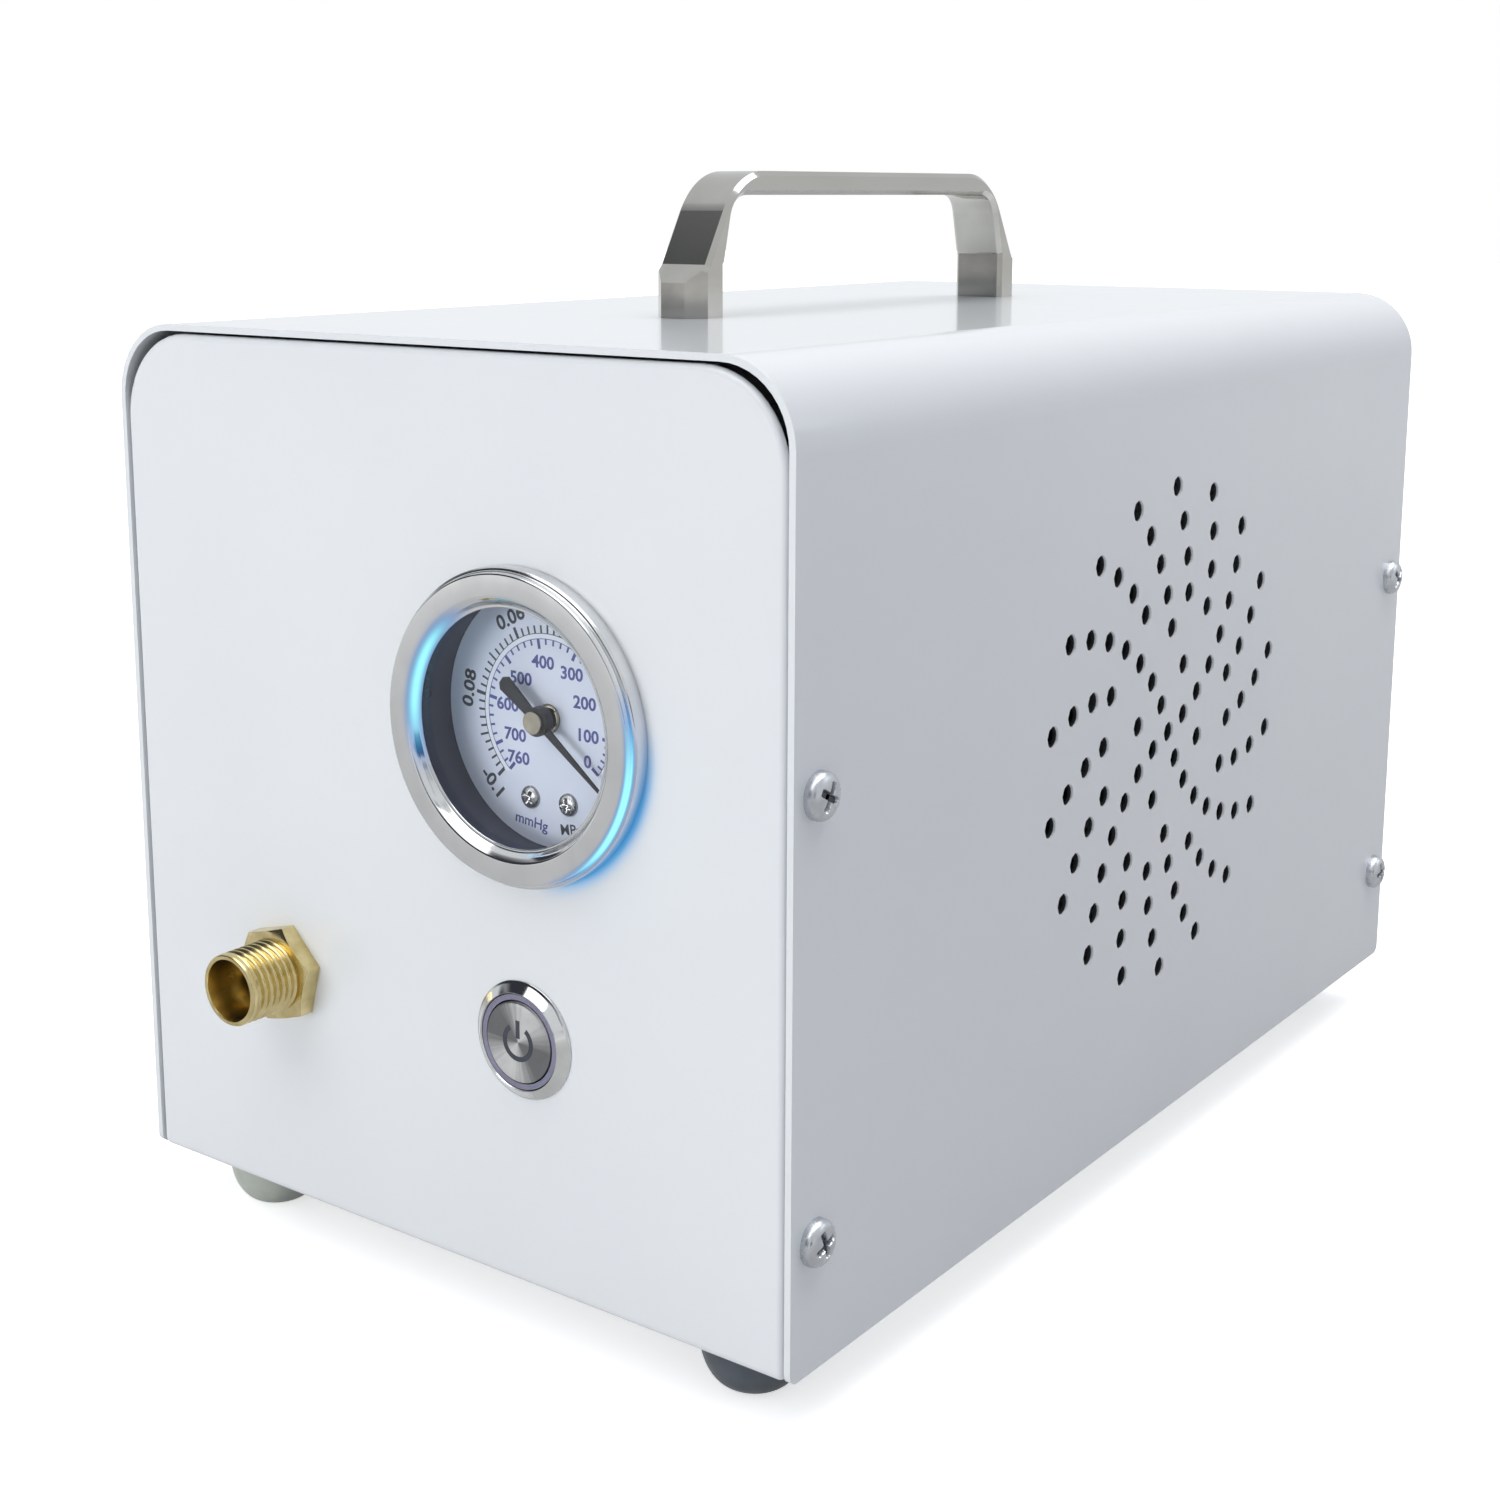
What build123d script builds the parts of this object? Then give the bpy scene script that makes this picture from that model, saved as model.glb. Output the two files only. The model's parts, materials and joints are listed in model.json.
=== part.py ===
from build123d import *
import math
import os

# Benchtop diaphragm vacuum pump in a white sheet-metal case. Millimetres.
# X to the right seen from the front, the front panel faces -Y, Z up.
# The origin is on the floor, under the middle of the case.

# Case
case_width = 154.0
case_depth = 256.0
case_height = 163.0
sheet = 1.2
cover_bend = 14.0  # outer radius of the cover's two long bends
cover_corner = 2.0  # lower corners of the cover's sides
chassis_bend = 1.6  # outer radius of the chassis's two floor bends
panel_gap = 0.5  # all round the panels, inside the cover
panel_corner = 16.0  # radius of the panels' upper corners
panel_edge = 1.1  # rolled edge of the two panels
flange_depth = 14.0
flange_margin = 9.0  # from the floor and from the cover's bend

# Vents: rings of holes, a middle one and open rings inside full ones
vent_back = 130.0  # from the front edge to the middle of the pattern
vent_up = 81.5  # from the case's underside to the middle of the pattern
vent_diameter = 4.0
vent_pitch = 7.0
vent_twist = 5.0  # degrees from one ring to the next
vent_count = 18
vent_sides = 8  # flats that stand for each small round hole
vent_full_rings = (4, 5, 6, 7)
vent_open_rings = {1: (1, 6, 10, 15), 2: (1, 3, 6, 8, 10, 12, 15, 17), 3: (1, 4, 6, 10, 13, 15)}

# Screws through the cover's sides
side_screw_inset = 6.5
side_screw_heights = (22.5, 96.0)
side_screw_thread = 4.0
side_screw_head = 8.0
side_screw_head_height = 2.6
side_screw_length = 8.0
hole_clearance = 0.3  # added to a thread's radius for the hole it passes

# Carrying handle
handle_length = 123.0
handle_height = 27.7
handle_width = 12.0
handle_bar = 4.6
handle_foot = 8.8
handle_foot_height = 6.7
handle_slope = 3.4  # how far a foot's top slopes in, and up, to its leg
handle_lean = 0.57  # how far a leg leans in for each millimetre it rises
handle_inner_lean = 0.24
handle_inner_step = 0.3  # of the gap's side where a foot ends
handle_bend = 15.0  # outer radius of the bends
handle_inner_bend = 5.5
handle_corner = 3.2
handle_edge = 0.9  # bevel along the bar and the legs
handle_back = 130.8  # from the front edge to the middle of the handle
handle_thread = 4.0
handle_screw_depth = 7.0

# Feet
foot_radius = 9.5
foot_height = 11.5
foot_inset_x = 17.9
foot_inset_y = 15.2
foot_thread = 4.0
foot_recess = 3.3
foot_recess_depth = 4.0
foot_rim = 0.7  # flat ring round the recess
foot_wall = 2.0  # upright part above the dome
foot_screw_length = 14.0
foot_screw_head_height = 2.4
foot_nut_height = 3.2

# Vacuum gauge
gauge_x = 22.0
gauge_up = 100.0
bezel_radius = 27.0
bezel_height = 4.2
bezel_slope = 1.4  # how far the face falls from its rim to its lip
bezel_round = 0.9  # of its rim
bezel_flat = 0.7  # level band inside the rim's round
lip_edge = 0.4  # bevel of the lip
lip_radius = 21.5
glass_radius = 23.0
glass_thickness = 1.5
case_flange = 0.8
case_flange_width = 1.6
gauge_radius = 24.6
gauge_wall = 2.0
gauge_length = 28.0
dial_depth = 7.6
dial_thickness = 0.6
dial_ledge = 1.2
pointer_reach = 17.6
pointer_tail = 10.0
pointer_hub = 2.5
pointer_blade = 0.5
pointer_hub_front = 0.5  # from the blade's face
pointer_hub_back = 1.4
pointer_tip_half = 0.15
pointer_half = 0.75  # half the blade's width at the hub
pointer_tail_half = 1.45
pointer_tail_bevel = 0.8
pointer_lift = 3.0  # from the dial's face to the blade
pointer_zero = -37.5  # degrees from +X, counterclockwise seen from the front
gauge_arbor_radius = 0.6
arbor_cap = 1.9
arbor_cap_height = 0.9
pinion_radius = 1.3
pinion_half = 1.4
sector_radius = 10.2
sector_span = 34.0
sector_margin = 6.0  # degrees of rim beyond the swing at each end
sector_boss = 2.2
sector_thickness = 1.2
mesh_gap = 0.12
movement_plate = 1.2
movement_height = 8.0
movement_width = 18.0
movement_rise = 4.5  # of the plates above the arbor
movement_corner = 3.0
movement_gap = 0.2  # from the dial's ledge to the first plate
pillar_radius = 1.2
pillar_drop = 9.0
dial_screw_x = 4.2
dial_screw_drop = 14.3
dial_screw_head = 2.0
dial_screw_height = 1.0
tube_radius = 17.2
tube_thickness = 2.0
tube_width = 6.0
tube_sweep = 251.0
gauge_clamp_width = 12.0
gauge_clamp_gap = 1.4  # from the gauge's case to each leg
socket_block = 12.0
socket_boss = 7.8
socket_gap = 1.5  # under the block, inside the ledge
stem_length = 6.4
barb_radius = 3.2
barb_length = 7.0
barb_step = 0.5
fit = 0.04  # radial clearance of a shaft in its bearing
seat = 0.1  # radial clearance of a fixed piece in its hole

# Power switch
switch_x = 21.7
switch_up = 45.3
switch_bezel = 10.9
switch_bezel_height = 1.7
switch_bevel = 1.6
switch_rim = 0.3
ring_drop = 0.3  # of the light ring behind the bezel's rim
switch_barrel = 9.4
switch_length = 26.0
ring_outer = 8.35
ring_wall = 0.95
ring_depth = 8.0
button_travel = 2.5
button_cap = 2.6
button_gap = 0.1
button_edge = 0.4
contact_gap = 0.6  # left behind the pressed plunger
contact_wall_gap = 0.4
base_reach = 2.0  # of the contact block behind the barrel
plunger_radius = 4.0
plunger_length = 4.0
switch_nut_flats = 22.0
nut_thickness = 3.5
terminal_length = 6.0
terminal_width = 2.8
terminal_thickness = 0.6
terminal_x = 4.0
terminal_z = 3.0

# Vacuum inlet nipple
nipple_x = -37.5
nipple_up = 44.8
nipple_hex = 16.5
nipple_hex_turn = 15.0
nipple_hex_height = 3.5
nipple_thread = 6.86
nipple_reach = 13.8  # from the panel to the nipple's open end
nipple_bore = 5.75
nipple_floor = 2.0  # left at the bottom of the wide bore
nipple_chamfer = 0.8
bulkhead_radius = 5.0
bulkhead_length = 12.0
bulkhead_passage = 2.2
bulkhead_nut_flats = 14.0

# Hoses
hose_wall = 2.0
hose_bend = 8.0
exhaust_bend = 14.5
tee_size = 12.0

# Motor, its axis along X
motor_radius = 36.0
motor_wall = 1.5
motor_left = -14.0
motor_length = 60.0
bell_thickness = 4.0
bell_edge = 1.0
spigot_length = 2.0
spigot_wall = 3.0
bearing_boss = 4.0
shaft_radius = 4.0
bearing_radius = 11.0
bearing_width = 7.0
rotor_radius = 22.0
rotor_length = 38.0
air_gap = 0.5
stack_length = 32.0
coil_length = 8.0
coil_inset = 2.0
fan_radius = 42.0
fan_hub = 11.0
fan_width = 11.0
fan_blades = 7
fan_blade_thickness = 1.4
fan_pitch = 38.0
fan_chord = 0.94  # part of the hub's width that a blade takes up
fan_root = 1.0  # of a blade sunk in the hub
fan_gap = 2.5

# Pump
pump_x = -37.5
throw = 2.5  # of the eccentric
crankcase_radius = 32.0
crankcase_wall = 5.0
crankcase_width = 39.0
crankcase_lid = 3.0
cast_edge = 0.8
head_size = 60.0
head_distance = 42.0  # from the crank's axis to the crankcase's mounting face
mount_thickness = 5.0
neck_radius = 24.0
neck_bore = 16.0
journal_radius = 8.5
journal_width = 9.0
rod_bearing_radius = 14.0
rod_ring = 18.0
rod_width = 8.0
rod_depth = 11.0
counterweight_radius = 22.0
counterweight_width = 4.0
clamp_radius = 12.0
clamp_thickness = 3.5
diaphragm_radius = 27.0
diaphragm_thickness = 2.0
flex_gap = 0.5
valve_plate_thickness = 7.0
chamber_radius = 17.0
chamber_depth = 4.5
port_radius = 2.5
port_spread = 12.0
reed_radius = 4.0
reed_thickness = 0.3
head_thickness = 14.0
head_wall = 4.0
room_corner = 3.0
fin_slot = 3.0
fin_depth = 2.0
head_screw_inset = 6.0
head_thread = 4.0
head_screw_head = 3.5
head_screw_cap = 4.0

# Motor mount
isolator_radius = 6.0
isolator_height = 12.0
isolator_inset = 4.0  # from the base's edge
isolator_stud = 3.0  # above the base
base_plate = 2.0
base_left = -62.0
base_right = 48.0
base_depth = 86.0
saddle_thickness = 4.0
saddle_width = 56.0
saddle_wrap = 22.0  # height of the motor's axis above the saddles' tips
saddle_inset = 6.0  # from each end of the motor's can

# Back panel
silencer_radius = 6.5
silencer_hex = 14.0
silencer_hex_height = 4.0
silencer_reach = 13.8
silencer_dome = 3.0
power_x = 35.0
power_up = 38.0
power_flange_width = 50.0
power_flange_height = 27.0
power_flange = 3.0
power_corner = 5.0
power_body_width = 29.0
power_body_height = 21.5
power_body_depth = 21.0
socket_width = 24.5
socket_height = 17.0
socket_depth = 16.5
socket_corner = 5.0
pin_width = 2.0
pin_height = 4.0
pin_spread = 7.0
pin_offset = 2.0
pin_length = 14.0
pin_tail = 7.0
power_screw_pitch = 40.0
power_thread = 3.0
power_screw_height = 1.6
power_screw_length = 6.0

# Worked out from the sizes above
floor = foot_height
top = floor + case_height
front = -case_depth / 2
back = case_depth / 2
inside = case_width / 2 - sheet
chassis_half = inside - panel_gap
chassis_top = top - sheet - panel_gap
deck = floor + sheet
crank_y = front + vent_back
crank_z = floor + vent_up
gauge_z = floor + gauge_up
switch_z = floor + switch_up
nipple_z = floor + nipple_up
exhaust_z = crank_z + head_size / 2 + barb_length + exhaust_bend  # straight out of the hose's bend
power_z = floor + power_up
side_screw_z = [floor + height for height in side_screw_heights]
side_screw_y = (front + side_screw_inset, back - side_screw_inset)
foot_places = {
    "front_left": (-case_width / 2 + foot_inset_x, front + foot_inset_y),
    "front_right": (case_width / 2 - foot_inset_x, front + foot_inset_y),
    "rear_left": (-case_width / 2 + foot_inset_x, back - foot_inset_y),
    "rear_right": (case_width / 2 - foot_inset_x, back - foot_inset_y),
}
handle_y = [front + handle_back + side * (handle_length - handle_foot) / 2 for side in (-1, 1)]
gauge_inner = gauge_radius - gauge_wall
arbor_z = gauge_z
sector_z = gauge_z - pinion_radius - sector_radius - mesh_gap
plate_near = dial_depth + dial_thickness + dial_ledge + movement_gap
plate_far = plate_near + movement_height
block_near = plate_far + movement_plate
gauge_back = front + gauge_length
ring_inner = ring_outer - ring_wall
hose_radius = barb_radius + hose_wall
pump_half = crankcase_width / 2
mount_face = crank_y - head_distance
plate_back = mount_face - diaphragm_thickness
plate_front = plate_back - valve_plate_thickness
head_front = plate_front - head_thickness
intake_z = crank_z - port_spread
motor_right = motor_left + motor_length
base_z = deck + isolator_height


def along_x(outline, start, end):
    """A solid from an outline drawn in Y and Z, carried from one X to another."""
    plane = Plane(origin=(start, 0, 0), x_dir=(0, 1, 0), z_dir=(1, 0, 0))
    return extrude(plane * outline, end - start)


def along_y(outline, start, end):
    """A solid from an outline drawn in X and Z, carried from one Y to another."""
    plane = Plane(origin=(0, end, 0), x_dir=(1, 0, 0), z_dir=(0, -1, 0))
    return extrude(plane * outline, end - start)


def along_z(outline, start, end):
    """A solid from an outline drawn in X and Y, carried from one Z to another."""
    return extrude(Plane.XY.offset(start) * outline, end - start)


def round_x(radius, start, end, y, z):
    return along_x(Pos(y, z) * Circle(radius), start, end)


def round_y(radius, start, end, x, z):
    return along_y(Pos(x, z) * Circle(radius), start, end)


def round_z(radius, start, end, x, y):
    return along_z(Pos(x, y) * Circle(radius), start, end)


def turned_y(points, x, z):
    """A piece turned about a line along Y: the points are radius and Y."""
    plane = Plane(origin=(x, 0, z), x_dir=(1, 0, 0), z_dir=(0, 0, 1))
    face = make_face(plane * Polyline(*points, close=True))
    return revolve(face, Axis((x, 0, z), (0, 1, 0)), 360)


def turned_x(points, y, z):
    """A piece turned about a line along X: the points are X and radius."""
    plane = Plane(origin=(0, y, z), x_dir=(1, 0, 0), z_dir=(0, -1, 0))
    face = make_face(plane * Polyline(*points, close=True))
    return revolve(face, Axis((0, y, z), (1, 0, 0)), 360)


def turned_z(points, x, y):
    """A piece turned about a line along Z: the points are radius and Z."""
    plane = Plane(origin=(x, y, 0), x_dir=(1, 0, 0), z_dir=(0, -1, 0))
    face = make_face(plane * Polyline(*points, close=True))
    return revolve(face, Axis((x, y, 0), (0, 0, 1)), 360)


def hexagon(flats, x, z, turn=0.0):
    return Pos(x, z) * Rot(0, 0, turn) * RegularPolygon(flats / 2, 6, major_radius=False)


def vent_centres():
    """Hole centres from the middle of the pattern: each ring is turned a little on the last."""
    centres = [(0.0, 0.0)]
    rings = dict(vent_open_rings)
    for ring in vent_full_rings:
        rings[ring] = range(vent_count)
    for ring, steps in rings.items():
        for step in steps:
            angle = math.radians(360 / vent_count * step + vent_twist * (ring - 1))
            centres.append((ring * vent_pitch * math.cos(angle), ring * vent_pitch * math.sin(angle)))
    return centres


def cover():
    """Inverted U of sheet: two sides and the top, with vents in both sides."""
    outer = Pos(0, (floor + top) / 2) * Rectangle(case_width, case_height)
    outer = fillet(outer.vertices().group_by(Axis.Y)[-1], cover_bend)
    inner = Pos(0, (floor + top) / 2 - sheet) * Rectangle(case_width - 2 * sheet, case_height)
    inner = fillet(inner.vertices().group_by(Axis.Y)[-1], cover_bend - sheet)
    body = along_y(outer - inner, front, back)
    side = Pos(0, (floor + top) / 2) * Rectangle(case_depth, case_height)
    side = fillet(side.vertices().group_by(Axis.Y)[0], cover_corner)
    body &= along_x(side, -case_width, case_width)
    hole = RegularPolygon(vent_diameter / 2, vent_sides, major_radius=False)
    vents = Sketch() + [Pos(crank_y + y, crank_z + z) * hole for y, z in vent_centres()]
    screw_hole = Circle(side_screw_thread / 2 + hole_clearance)
    holes = Sketch() + [Pos(y, z) * screw_hole for y in side_screw_y for z in side_screw_z]
    body -= along_x(vents + holes, -case_width, case_width)
    for y in handle_y:
        body -= round_z(handle_thread / 2 + hole_clearance, top - 2 * sheet, top + 1, 0, y)
    return body


def chassis():
    """Front panel, floor and back panel from one sheet, with flanges for the cover's screws."""
    outer = Pos(0, (floor + chassis_top) / 2) * Rectangle(case_depth, chassis_top - floor)
    outer = fillet(outer.vertices().group_by(Axis.Y)[0], chassis_bend)
    inner = Pos(0, (deck + chassis_top + sheet) / 2) * Rectangle(
        case_depth - 2 * sheet, chassis_top + sheet - deck
    )
    inner = fillet(inner.vertices().group_by(Axis.Y)[0], chassis_bend - sheet)
    body = along_x(outer - inner, -chassis_half, chassis_half)
    panel = Pos(0, (floor + chassis_top) / 2) * Rectangle(2 * chassis_half, chassis_top - floor)
    panel = fillet(panel.vertices().group_by(Axis.Y)[-1], panel_corner)
    body &= along_y(panel, front, back)
    edges = body.edges().filter_by_position(Axis.Y, front - 0.01, front + 0.01)
    body = fillet(edges.filter_by(lambda edge: edge.center().Z > floor + chassis_bend), panel_edge)
    flange_low = floor + flange_margin
    flange_high = top - cover_bend - flange_margin
    for side in (-1, 1):
        for near, far in ((front, front + flange_depth), (back - flange_depth, back)):
            middle = side * (chassis_half - sheet / 2)
            near = max(near, front + sheet)
            far = min(far, back - sheet)
            flange = Pos(middle, (near + far) / 2, (flange_low + flange_high) / 2) * Box(
                sheet, far - near, flange_high - flange_low
            )
            body += flange
    for y in side_screw_y:
        for z in side_screw_z:
            body -= round_x(side_screw_thread / 2 + seat, -case_width / 2, case_width / 2, y, z)
    for x, y in foot_places.values():
        body -= round_z(foot_thread / 2 + hole_clearance, floor - 1, deck + 1, x, y)
    for x, y in isolator_places():
        body -= round_z(foot_thread / 2 + hole_clearance, floor - 1, deck + 1, x, y)
    body -= round_y(gauge_radius + hole_clearance, front - 1, front + 2 * sheet, gauge_x, gauge_z)
    body -= round_y(switch_barrel + seat, front - 1, front + 2 * sheet, switch_x, switch_z)
    body -= round_y(bulkhead_radius + seat, front - 1, front + 2 * sheet, nipple_x, nipple_z)
    body -= round_y(bulkhead_radius + seat, back - 2 * sheet, back + 1, nipple_x, exhaust_z)
    window = Pos(power_x, power_z) * Rectangle(power_body_width + 2 * seat, power_body_height + 2 * seat)
    body -= along_y(window, back - 2 * sheet, back + 1)
    for side in (-1, 1):
        x = power_x + side * power_screw_pitch / 2
        body -= round_y(power_thread / 2 + seat, back - 2 * sheet, back + 1, x, power_z)
    return body


def side_screws():
    """Eight pan-head screws that hold the cover to the chassis's flanges."""
    screws = []
    for side in (-1, 1):
        face = side * case_width / 2
        shape = [
            (face, 0),
            (face, side_screw_head / 2),
            (face + side * side_screw_head_height * 0.45, side_screw_head / 2),
            (face + side * side_screw_head_height * 0.85, side_screw_head / 2 * 0.75),
            (face + side * side_screw_head_height, side_screw_head / 2 * 0.35),
            (face + side * side_screw_head_height, 0),
        ]
        for y in side_screw_y:
            for z in side_screw_z:
                start, end = sorted((face, face - side * side_screw_length))
                screws.append(turned_x(shape, y, z) + round_x(side_screw_thread / 2, start, end, y, z))
    return Compound(children=screws)


def bow(half, foot_top, slope, lean, rise, bend):
    """Half a bow's outline mirrored: a foot, a sloping shoulder, a leaning leg and a bend."""
    shoulder = foot_top + slope
    right = [
        (half, 0),
        (half, foot_top),
        (half - slope, shoulder),
        (half - slope - lean * (rise - shoulder), rise),
    ]
    left = [(-y, z) for y, z in reversed(right)]
    face = make_face(Polyline(*right, *left, close=True))
    return fillet(face.vertices().group_by(Axis.Y)[-1], bend)


def handle():
    """Bow handle: chamfered feet, legs that lean in, and a flat bar between them."""
    half = handle_length / 2
    outer = bow(half, handle_foot_height, handle_slope, handle_lean, handle_height, handle_bend)
    inner = bow(
        half - handle_foot,
        handle_foot_height + handle_slope - handle_inner_step,
        handle_inner_step,
        handle_inner_lean,
        handle_height - handle_bar,
        handle_inner_bend,
    )
    body = along_x(outer - inner, -handle_width / 2, handle_width / 2)
    sides = body.edges().filter_by(lambda edge: abs(abs(edge.center().X) - handle_width / 2) < 0.01)
    body = chamfer(sides.filter_by(lambda edge: edge.center().Z > 0.01), handle_edge)
    plan = Rectangle(handle_width, handle_length)
    body &= along_z(chamfer(plan.vertices(), handle_corner), 0, handle_height)
    body = Pos(0, front + handle_back, top) * body
    for y in handle_y:
        body -= round_z(handle_thread / 2 + seat, top - 1, top + handle_screw_depth + seat, 0, y)
    return body


def handle_screws():
    """Two screws up through the cover's top into the handle's feet."""
    screws = []
    under = top - sheet
    for y in handle_y:
        head = round_z(handle_thread, under - handle_thread * 0.7, under, 0, y)
        screws.append(head + round_z(handle_thread / 2, under, top + handle_screw_depth, 0, y))
    return Compound(children=screws)


def foot(x, y):
    """Domed rubber foot with a recess for its screw."""
    shoulder = floor - foot_wall
    flat = foot_recess + foot_rim
    plane = Plane(origin=(x, y, 0), x_dir=(1, 0, 0), z_dir=(0, -1, 0))
    base = Line((0, 0), (flat, 0))
    dome = EllipticalCenterArc(
        (flat, shoulder), foot_radius - flat, shoulder, start_angle=-90, arc_size=90
    )
    side = Polyline((foot_radius, shoulder), (foot_radius, floor), (0, floor), (0, 0))
    body = revolve(make_face(plane * (base + dome + side)), Axis((x, y, 0), (0, 0, 1)), 360)
    body -= round_z(foot_recess, -1, foot_recess_depth, x, y)
    body -= round_z(foot_thread / 2 + seat, 0, floor + 1, x, y)
    return body


def foot_screws():
    """A screw up each foot's middle, with its nut on the floor of the case."""
    screws = []
    for x, y in foot_places.values():
        head_high = foot_recess_depth
        screw = round_z(foot_recess - hole_clearance, head_high - foot_screw_head_height, head_high, x, y)
        screw += round_z(foot_thread / 2, head_high, head_high + foot_screw_length, x, y)
        flats = RegularPolygon(foot_recess - hole_clearance, 6)
        nut = along_z(Pos(x, y) * flats, deck, deck + foot_nut_height)
        screws.append(screw + nut)
    return Compound(children=screws)


def gauge_bezel():
    """Chrome ring that clamps the glass: a rolled rim and a face that slopes to the lip."""
    rim = front - bezel_height
    lip = rim + bezel_slope
    glass_front = front - case_flange - glass_thickness
    flange = gauge_radius + case_flange_width
    return turned_y([
        (flange, front),
        (bezel_radius, front),
        (bezel_radius, rim + bezel_round),
        (bezel_radius - bezel_round * 0.3, rim + bezel_round * 0.3),
        (bezel_radius - bezel_round, rim),
        (bezel_radius - bezel_round - bezel_flat, rim),
        (lip_radius + lip_edge, lip),
        (lip_radius, lip + lip_edge),
        (lip_radius, glass_front),
        (glass_radius + seat, glass_front),
        (glass_radius + seat, front - case_flange),
        (flange, front - case_flange),
    ], gauge_x, gauge_z)


def gauge_glass():
    near = front - case_flange - glass_thickness
    return round_y(glass_radius, near, front - case_flange, gauge_x, gauge_z)


def gauge_case():
    """Cup behind the panel: a flange on the panel, a ledge for the dial, a hole for the socket."""
    ledge = front + dial_depth + dial_thickness
    return turned_y([
        (gauge_radius + case_flange_width, front - case_flange),
        (gauge_radius + case_flange_width, front),
        (gauge_radius, front),
        (gauge_radius, gauge_back),
        (bulkhead_radius + seat, gauge_back),
        (bulkhead_radius + seat, gauge_back - gauge_wall),
        (gauge_inner - dial_ledge, gauge_back - gauge_wall),
        (gauge_inner - dial_ledge, ledge),
        (gauge_inner, ledge),
        (gauge_inner, front - case_flange),
    ], gauge_x, gauge_z)


def dial_screw_places():
    return [(gauge_x + side * dial_screw_x, gauge_z - dial_screw_drop) for side in (-1, 1)]


def gauge_dial():
    near = front + dial_depth
    dial = round_y(gauge_inner - seat, near, near + dial_thickness, gauge_x, gauge_z)
    dial -= round_y(pointer_hub, near - 1, near + 2, gauge_x, gauge_z)
    for x, z in dial_screw_places():
        dial -= round_y(dial_screw_head / 2 + seat, near - 1, near + 2, x, z)
    return dial


def gauge_dial_screws():
    face = front + dial_depth
    screws = []
    for x, z in dial_screw_places():
        head = round_y(dial_screw_head, face - dial_screw_height, face, x, z)
        screws.append(head + round_y(dial_screw_head / 2, face, front + plate_near, x, z))
    return Compound(children=screws)


def gauge_movement():
    """Two plates on pillars that carry the arbor and the sector, and posts for the dial."""
    high = gauge_z + movement_rise
    lows = (gauge_z - dial_screw_drop - dial_screw_head, gauge_z - dial_screw_drop)
    nears = (front + plate_near, front + plate_far)
    body = Part()
    for low, near in zip(lows, nears):
        outline = Pos(gauge_x, (low + high) / 2) * RectangleRounded(
            movement_width, high - low, movement_corner
        )
        body += along_y(outline, near, near + movement_plate)
    near, far = nears
    body += round_y(pointer_hub - seat, front + dial_depth, near, gauge_x, gauge_z)
    for side in (-1, 1):
        x = gauge_x + side * (movement_width / 2 - pillar_radius - seat)
        body += round_y(pillar_radius, near, far, x, gauge_z - pillar_drop)
    for x, z in dial_screw_places():
        post = round_y(dial_screw_head, front + dial_depth + dial_thickness, near, x, z)
        body += post - round_y(dial_screw_head / 2, front, near, x, z)
    body -= round_y(gauge_arbor_radius + fit, front, gauge_back, gauge_x, arbor_z)
    body -= round_y(gauge_arbor_radius + fit, front, gauge_back, gauge_x, sector_z)
    return body


def gauge_pointer():
    """Blade with a broad tail and a fine tip, on a round hub."""
    blade = front + dial_depth - pointer_lift
    shape = Polyline(
        (pointer_reach, -pointer_tip_half),
        (pointer_reach, pointer_tip_half),
        (0, pointer_half),
        (-pointer_tail + pointer_tail_bevel, pointer_tail_half),
        (-pointer_tail, pointer_tail_half - pointer_tail_bevel),
        (-pointer_tail, pointer_tail_bevel - pointer_tail_half),
        (-pointer_tail + pointer_tail_bevel, -pointer_tail_half),
        (0, -pointer_half),
        close=True,
    )
    outline = Pos(gauge_x, gauge_z) * Rot(0, 0, pointer_zero) * make_face(shape)
    body = along_y(outline, blade, blade + pointer_blade)
    hub = round_y(pointer_hub, blade - pointer_hub_front, blade + pointer_hub_back, gauge_x, gauge_z)
    return body + hub - round_y(gauge_arbor_radius, front, front + dial_depth, gauge_x, gauge_z)


def gauge_arbor():
    """Arbor through the movement, with its pinion and the cap that holds the pointer."""
    cap_back = front + dial_depth - pointer_lift - pointer_hub_front
    far = front + plate_far + movement_plate
    body = round_y(gauge_arbor_radius, cap_back, far, gauge_x, gauge_z)
    body += round_y(arbor_cap, cap_back - arbor_cap_height, cap_back, gauge_x, gauge_z)
    middle = front + (plate_near + movement_plate + plate_far) / 2
    return body + round_y(pinion_radius, middle - pinion_half, middle + pinion_half, gauge_x, gauge_z)


def gauge_sector():
    """Toothed sector's blank, on its own arbor under the pointer's."""
    middle = front + (plate_near + movement_plate + plate_far) / 2
    start = 90 - sector_margin
    sweep = sector_span + 2 * sector_margin
    rim = CenterArc((0, 0), sector_radius, start, sweep)
    wedge = make_face(Line((0, 0), rim @ 0) + rim + Line(rim @ 1, (0, 0)))
    outline = Pos(gauge_x, sector_z) * (wedge + Circle(sector_boss))
    body = along_y(outline, middle - sector_thickness / 2, middle + sector_thickness / 2)
    near = front + plate_near
    return body + round_y(gauge_arbor_radius, near, front + plate_far + movement_plate, gauge_x, sector_z)


def gauge_tube():
    """C-shaped pressure tube of flat section, from the socket's boss round to its free tip."""
    inner = tube_radius - tube_thickness / 2
    near = front + plate_far - tube_width
    plane = Plane(origin=(gauge_x, 0, gauge_z), x_dir=(1, 0, 0), z_dir=(0, 0, 1))
    section = plane * Pos(inner + tube_thickness / 2, near + tube_width / 2) * RectangleRounded(
        tube_thickness, tube_width, tube_thickness * 0.45
    )
    axis = Axis((gauge_x, 0, gauge_z), (0, -1, 0))
    return revolve(section, axis, tube_sweep).rotate(axis, -76)


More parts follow.
